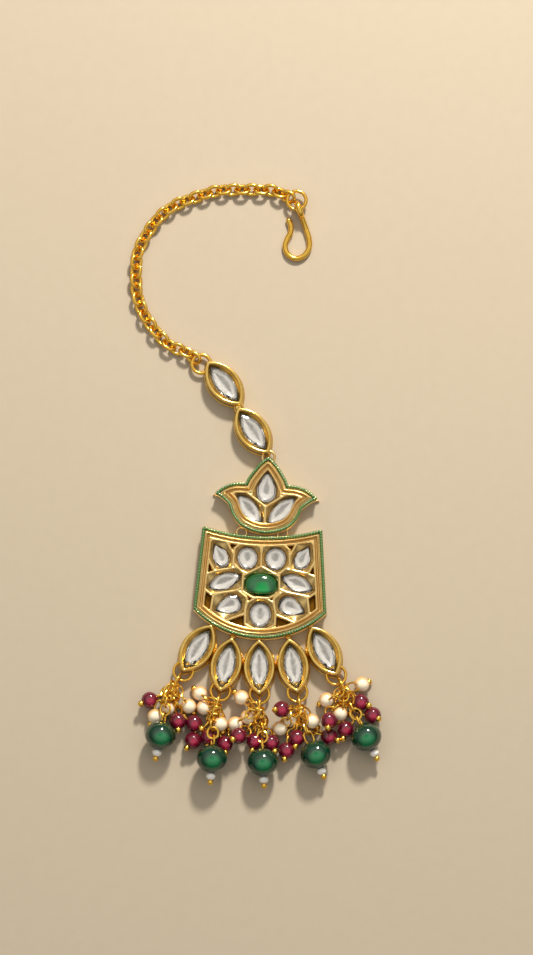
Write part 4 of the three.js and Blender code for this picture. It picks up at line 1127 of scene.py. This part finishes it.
class TIKKA_OT_links(bpy.types.Operator):
    """Two linked marquise settings with their stones"""
    bl_idname = "tikka.links"
    bl_label = "Linked settings"

    def execute(self, context):
        parts = [setting((x, y), degrees) for x, y, degrees in LINK_PLACES]
        middle = np.mean([place[:2] for place in LINK_PLACES], axis=0)
        parts.append(ball((*middle, SOLDER_LEVEL), SOLDER * 3, segments=24, rows=14))
        piece("link_settings", parts, ["link_frame"], "gold_plated_polished")
        for i, (x, y, degrees) in enumerate(LINK_PLACES):
            cut_stone(f"link_stone_{i + 1}", "lens", SETTING_STONE, -degrees, (x, y))
        return {"FINISHED"}


class TIKKA_OT_lotus(bpy.types.Operator):
    """Lotus plate with its rope edge, its cells, its stones and the ring behind its tip"""
    bl_idname = "tikka.lotus"
    bl_label = "Lotus"

    def execute(self, context):
        stones = stone_list(LOTUS_STONES, LOTUS_HALF_WIDTH, LOTUS_UP)
        tip = turned([(0, LOTUS_UP + 0.2)], LOTUS_TURN, LOTUS_PLACE)[0]
        bail = torus((*tip, TIP_RING_LEVEL), BAIL_RING, BAIL_WIRE)
        plate("lotus", ["lotus_frame"], lotus_outline(), stones, LOTUS_TURN, LOTUS_PLACE, LOTUS_ROPE_INSET, [bail])
        return {"FINISHED"}


class TIKKA_OT_plaque(bpy.types.Operator):
    """Plaque with its rope edge, its cells, its stones, the green centre stone and the loops to the lotus"""
    bl_idname = "tikka.plaque"
    bl_label = "Plaque"

    def execute(self, context):
        half, top = PLAQUE_BOTTOM_WIDTH / 2, PLAQUE_TOP_WIDTH / 2
        loops = []
        for x in LOOP_PLACES:
            y = arc(x, top, PLAQUE_TOP_SAG, PLAQUE_TOP_CORNER) + LOOP_RING * 0.75
            place = turned([(x, y)], PLAQUE_TURN, (0, 0))[0]
            loops.append(torus((*place, TIP_RING_LEVEL), LOOP_RING, LOOP_WIRE))
        stones = stone_list(PLAQUE_STONES, half, half)
        plate("plaque", ["pendant_frame"], plaque_outline(), stones, PLAQUE_TURN, (0, 0), PLAQUE_ROPE_INSET, loops)
        return {"FINISHED"}


def plate(name, nodes, outline, stones, degrees, place, rope_inset, rings):
    """Plate of cells inside a border, with its rope edge, its stones and the rings soldered behind it."""
    size = sizes()
    body = join(f"{name}_plate", [rim(outline), tray(outline, stones, size["cell_step"])])
    lay(body, degrees, place)
    piece(f"{name}_plate", [body, *rings], nodes, "gold_plated_cast")
    edge = rope(outline, size["rope_pitch"], rope_inset)
    lay(edge, degrees, place)
    piece(f"{name}_rope", [edge], nodes, "enamel_fired_on_rope", ROUND)
    for stone in stones:
        if stone["name"] == "plaque_emerald":
            gem = cabochon(stone)
            lay(gem, degrees, place)
            piece("emerald_cabochon", [gem], ["plaque_emerald"], "glass_emerald_polished", ROUND)
        else:
            count = 14 if stone["shape"] == "lens" else 12
            cut_stone(stone["name"], stone["shape"], stone["size"], stone["turn"], stone["place"], count, degrees,
                      place)


def lay(obj, degrees, place):
    """Turns a piece about Z and puts it in its place, in its mesh."""
    turn = Matrix.Rotation(math.radians(degrees), 4, "Z")
    turn.translation = (place[0] * MM, place[1] * MM, 0)
    obj.data.transform(turn)


def cabochon(stone):
    """Round-backed stone with a flatter lower side: a ball flattened to stand a little over the frame."""
    length_y, width = stone["size"]
    rise = FRAME_HEIGHT + 0.3 - STONE_SEAT
    gem = ball((0, 0, 0), 2.0, segments=64, rows=32)
    gem.matrix_world = Matrix.Identity(4)
    # Painted light on the centre stone, the same as on the beads
    mark_painted_glow(gem, Matrix.Identity(3))
    for vertex in gem.data.vertices:
        x, y, z = [v / MM for v in vertex.co]
        y = y if y > 0 else -min(0.9, (-y) ** 0.45)
        vertex.co = ((x * width / 2 + stone["place"][0]) * MM, (y * length_y / 2 + stone["place"][1]) * MM,
                     (STONE_SEAT + (z * rise if z > 0 else z * 0.3)) * MM)
    return gem


class TIKKA_OT_drops(bpy.types.Operator):
    """Five marquise drops with their stones, solder, rear rings and jump rings"""
    bl_idname = "tikka.drops"
    bl_label = "Drops"

    def execute(self, context):
        size = sizes()
        parts, rears = [], []
        for i, place in enumerate(DROP_TIPS):
            tip, along = drop_axis(place)
            degrees = place[2]
            centre = tip - along * (SETTING_LENGTH / 2 - TIP_REACH)
            parts.append(setting(centre, degrees))
            top = tip - along * (SETTING_LENGTH - TIP_REACH + SOLDER * 0.1)
            parts.append(ball((*top, SOLDER), SOLDER * 1.6, segments=20, rows=12))
            rear = tip + along * (REAR_PAST_TIP - REAR_RING)
            rears.append(torus((*rear, REAR_LEVEL), REAR_RING, size["rear_wire"]))
            cut_stone(f"drop_stone_{i + 1}", "lens", SETTING_STONE, -degrees, centre)
            middle = tip + along * JUMP_PAST_TIP
            ring = torus((*middle, JUMP_LEVEL), JUMP_RING, size["jump_wire"],
                         (math.pi / 2, 0, math.atan2(along[1], along[0])), 16, 56)
            piece(f"jump_ring_{i + 1}", [ring], [f"drop_ring_{i + 1}"])
        piece("rear_rings", rears, ["pendant_frame"])
        piece("drop_settings", parts, ["pendant_frame"], "gold_plated_polished")
        return {"FINISHED"}


def eye_ring(place, kind, wire):
    """Ring by which strings hang on their jump ring."""
    eye, out, along = eye_place(place, kind)
    side = np.array([-along[1], along[0], 0])
    obj = torus((0, 0, 0), STRING_EYE, wire, sides=10, segments=32)
    obj.matrix_world = turned_basis(Vector(out), Vector(side), Vector(np.cross(out, side)), eye)
    return keep_inside(obj)


def string_of_rings(place, kind, route, bead, wire, seed):
    """Small rings from the eye on the jump ring to the bead, one through the next as they fell."""
    eye, _, _ = eye_place(place, kind)
    rng = random.Random(seed)
    path = smooth_path([eye, *route], 200)
    steps = np.r_[0, np.cumsum(np.linalg.norm(np.diff(path, axis=0), axis=1))]
    free = steps[-1] - bead / 2 + STRING_LAP - STRING_LEAD
    count = max(1, round(free / STRING_PITCH))
    pitch = free / count
    rings = []
    for i in range(count):
        k = int(np.searchsorted(steps, STRING_LEAD + pitch * (i + 0.5)))
        k = min(max(k, 1), len(path) - 2)
        spin = (math.pi / 2 if i % 2 else 0) + rng.uniform(-0.5, 0.5)
        rings.append(oval_ring(path[k], path[k + 1] - path[k - 1], spin, pitch + 2 * wire + STRING_LAP,
                               STRING_WIDTH + rng.uniform(-0.2, 0.5), wire, 8, 24))
    return rings, unit(path[-1] - path[-6])


def bunch(index, kind, routes, bead, names, finish):
    """Beads on strings of small rings: the metal is one piece and the beads another."""
    size = sizes()
    place, wire = DROP_TIPS[index], size["eye_wire"]
    metal, beads = [eye_ring(place, kind, wire)], []
    for number, route in enumerate(routes):
        rings, out = string_of_rings(place, kind, route, bead, wire, index * 31 + number * 7)
        metal += rings
        middle = np.array(route[-1])
        beads.append(ball(middle, bead, out, bored=0.7))
        metal.append(ball(middle + out * (bead / 2 + 0.4), size["end_ball"] * 0.95, out, segments=20, rows=12))
    nodes = [f"{names}_{index + 1}"]
    piece(f"{names}_rings_{index + 1}", metal, nodes)
    piece(f"{names}_beads_{index + 1}", beads, nodes, finish, ROUND)


class TIKKA_OT_pearls(bpy.types.Operator):
    """Bunches of cream pearls"""
    bl_idname = "tikka.pearls"
    bl_label = "Pearls"

    def execute(self, context):
        for i, routes in enumerate(PEARL_ROUTES):
            bunch(i, "pearl", routes, sizes()["pearl"], "pearl_bunch", "nacre_dipped")
        return {"FINISHED"}


class TIKKA_OT_red_beads(bpy.types.Operator):
    """Bunches of red beads"""
    bl_idname = "tikka.red_beads"
    bl_label = "Red beads"

    def execute(self, context):
        for i, routes in enumerate(RUBY_ROUTES):
            bunch(i, "red", routes, sizes()["red_bead"], "ruby_bunch", "glass_red_pressed")
        return {"FINISHED"}


class TIKKA_OT_green_beads(bpy.types.Operator):
    """Large green beads, each with a seed pearl and a gold ball below it"""
    bl_idname = "tikka.green_beads"
    bl_label = "Green beads"

    def execute(self, context):
        size = sizes()
        bead, seed, wire = size["green_bead"], size["seed_pearl"], size["eye_wire"] * 1.1
        for i, route in enumerate(GREEN_ROUTES):
            start, _, _ = eye_place(DROP_TIPS[i], "green", JUMP_RING + 1.05)
            middle = np.array(route[-1])
            out = unit(np.array([*unit((middle - start)[:2]), -0.2]))
            under = middle + out * ((bead * 0.92 + seed * 0.75) / 2)
            last = under + out * ((seed * 0.75 + SEED_BALL) / 2 - 0.15)
            rings, _ = string_of_rings(DROP_TIPS[i], "green", route, bead, wire, 100 + i)
            metal = [eye_ring(DROP_TIPS[i], "green", wire), *rings]
            metal.append(ball(last, SEED_BALL, out, segments=24, rows=14))
            nodes = [f"green_drop_{i + 1}"]
            piece(f"green_rings_{i + 1}", metal, nodes)
            green = ball(middle, bead * 1.05, out, 0.91, bored=1.0, segments=48, rows=32)
            piece(f"green_bead_{i + 1}", [green], nodes, "glass_green_pressed", ROUND)
            white = ball(under, seed, out, 0.8, bored=0.6)
            piece(f"seed_pearl_{i + 1}", [white], nodes, "shell_seed_polished", ROUND)
        return {"FINISHED"}


class TIKKA_OT_stage(bpy.types.Operator):
    """Plain pale floor, soft studio light and the camera"""
    bl_idname = "tikka.stage"
    bl_label = "Stage"

    def execute(self, context):
        deselect()
        bpy.ops.mesh.primitive_plane_add(size=3.0, location=(0, 0.027, -0.00005))
        floor = bpy.context.object
        bpy.ops.object.transform_apply(location=True, rotation=True, scale=True)
        floor.name = "floor"
        floor.data.materials.append(material("board_painted_matt"))
        tilt = math.radians(CAMERA_TILT)
        place = Vector(VIEW_CENTRE) * MM + CAMERA_AWAY * Vector((0, -math.sin(tilt), math.cos(tilt)))
        bpy.ops.object.camera_add(location=place, rotation=(tilt, 0, 0))
        camera = bpy.context.object
        camera.data.sensor_fit = "VERTICAL"
        camera.data.sensor_height = SENSOR
        camera.data.lens = SENSOR * CAMERA_AWAY / VIEW_HEIGHT
        camera.data.clip_start = 0.01
        camera.data.dof.use_dof = False
        context.scene.camera = camera
        deselect()
        direction = Vector(KEY_TARGET) - Vector(KEY_PLACE)
        turn = direction.to_track_quat("-Z", "Y").to_euler()
        bpy.ops.object.light_add(type="AREA", location=KEY_PLACE, rotation=turn)
        key = bpy.context.object
        key.name = "key"
        key.data.shape = "DISK"
        key.data.size = KEY_SIZE
        key.data.energy = KEY_POWER
        key.data.color = KEY_TINT
        world = bpy.data.worlds.new("studio")
        context.scene.world = world
        world.use_nodes = True
        tree = world.node_tree
        tree.nodes.clear()
        place = node(tree, "ShaderNodeTexCoord")
        parts = node(tree, "ShaderNodeSeparateXYZ", links={"Vector": (place, "Generated")})
        ramp = node(tree, "ShaderNodeValToRGB", links={"Fac": (parts, "Z")})
        while len(ramp.color_ramp.elements) < len(SKY_BANDS):
            ramp.color_ramp.elements.new(0.5)
        for element, (at, grey) in zip(ramp.color_ramp.elements, SKY_BANDS):
            element.position = at
            element.color = (grey, grey * 0.95, grey * 0.88, 1)
        strength = spread(tree, (parts, "Y"), 0.48, 1.04, -1.0)
        back = node(tree, "ShaderNodeBackground", links={"Color": (ramp, "Color"), "Strength": strength})
        node(tree, "ShaderNodeOutputWorld", links={"Surface": (back, "Background")})
        context.scene.view_settings.view_transform = "Standard"
        return {"FINISHED"}


class TIKKA_PT_panel(bpy.types.Panel):
    """Sizes, colours and pieces of the ornament"""
    bl_idname = "TIKKA_PT_panel"
    bl_label = "Maang tikka"
    bl_space_type = "VIEW_3D"
    bl_region_type = "UI"
    bl_category = "Tikka"

    def draw(self, context):
        for group in (context.scene.tikka_sizes, context.scene.tikka_colours):
            box = self.layout.box()
            for key in group.__annotations__:
                box.prop(group, key)
        for operator in OPERATORS:
            self.layout.operator(operator.bl_idname)


OPERATORS = (TIKKA_OT_hook, TIKKA_OT_chain, TIKKA_OT_links, TIKKA_OT_lotus, TIKKA_OT_plaque, TIKKA_OT_drops,
             TIKKA_OT_pearls, TIKKA_OT_red_beads, TIKKA_OT_green_beads, TIKKA_OT_stage)
CLASSES = (TikkaSizes, TikkaColours, *OPERATORS, TIKKA_PT_panel)


def register():
    for item in CLASSES:
        bpy.utils.register_class(item)
    bpy.types.Scene.tikka_sizes = bpy.props.PointerProperty(type=TikkaSizes)
    bpy.types.Scene.tikka_colours = bpy.props.PointerProperty(type=TikkaColours)


def unregister():
    del bpy.types.Scene.tikka_sizes
    del bpy.types.Scene.tikka_colours
    for item in reversed(CLASSES):
        bpy.utils.unregister_class(item)


def main():
    register()
    bpy.ops.tikka.hook()
    bpy.ops.tikka.chain()
    bpy.ops.tikka.links()
    bpy.ops.tikka.lotus()
    bpy.ops.tikka.plaque()
    bpy.ops.tikka.drops()
    bpy.ops.tikka.pearls()
    bpy.ops.tikka.red_beads()
    bpy.ops.tikka.green_beads()
    bpy.ops.tikka.stage()


if __name__ == "__main__":
    main()
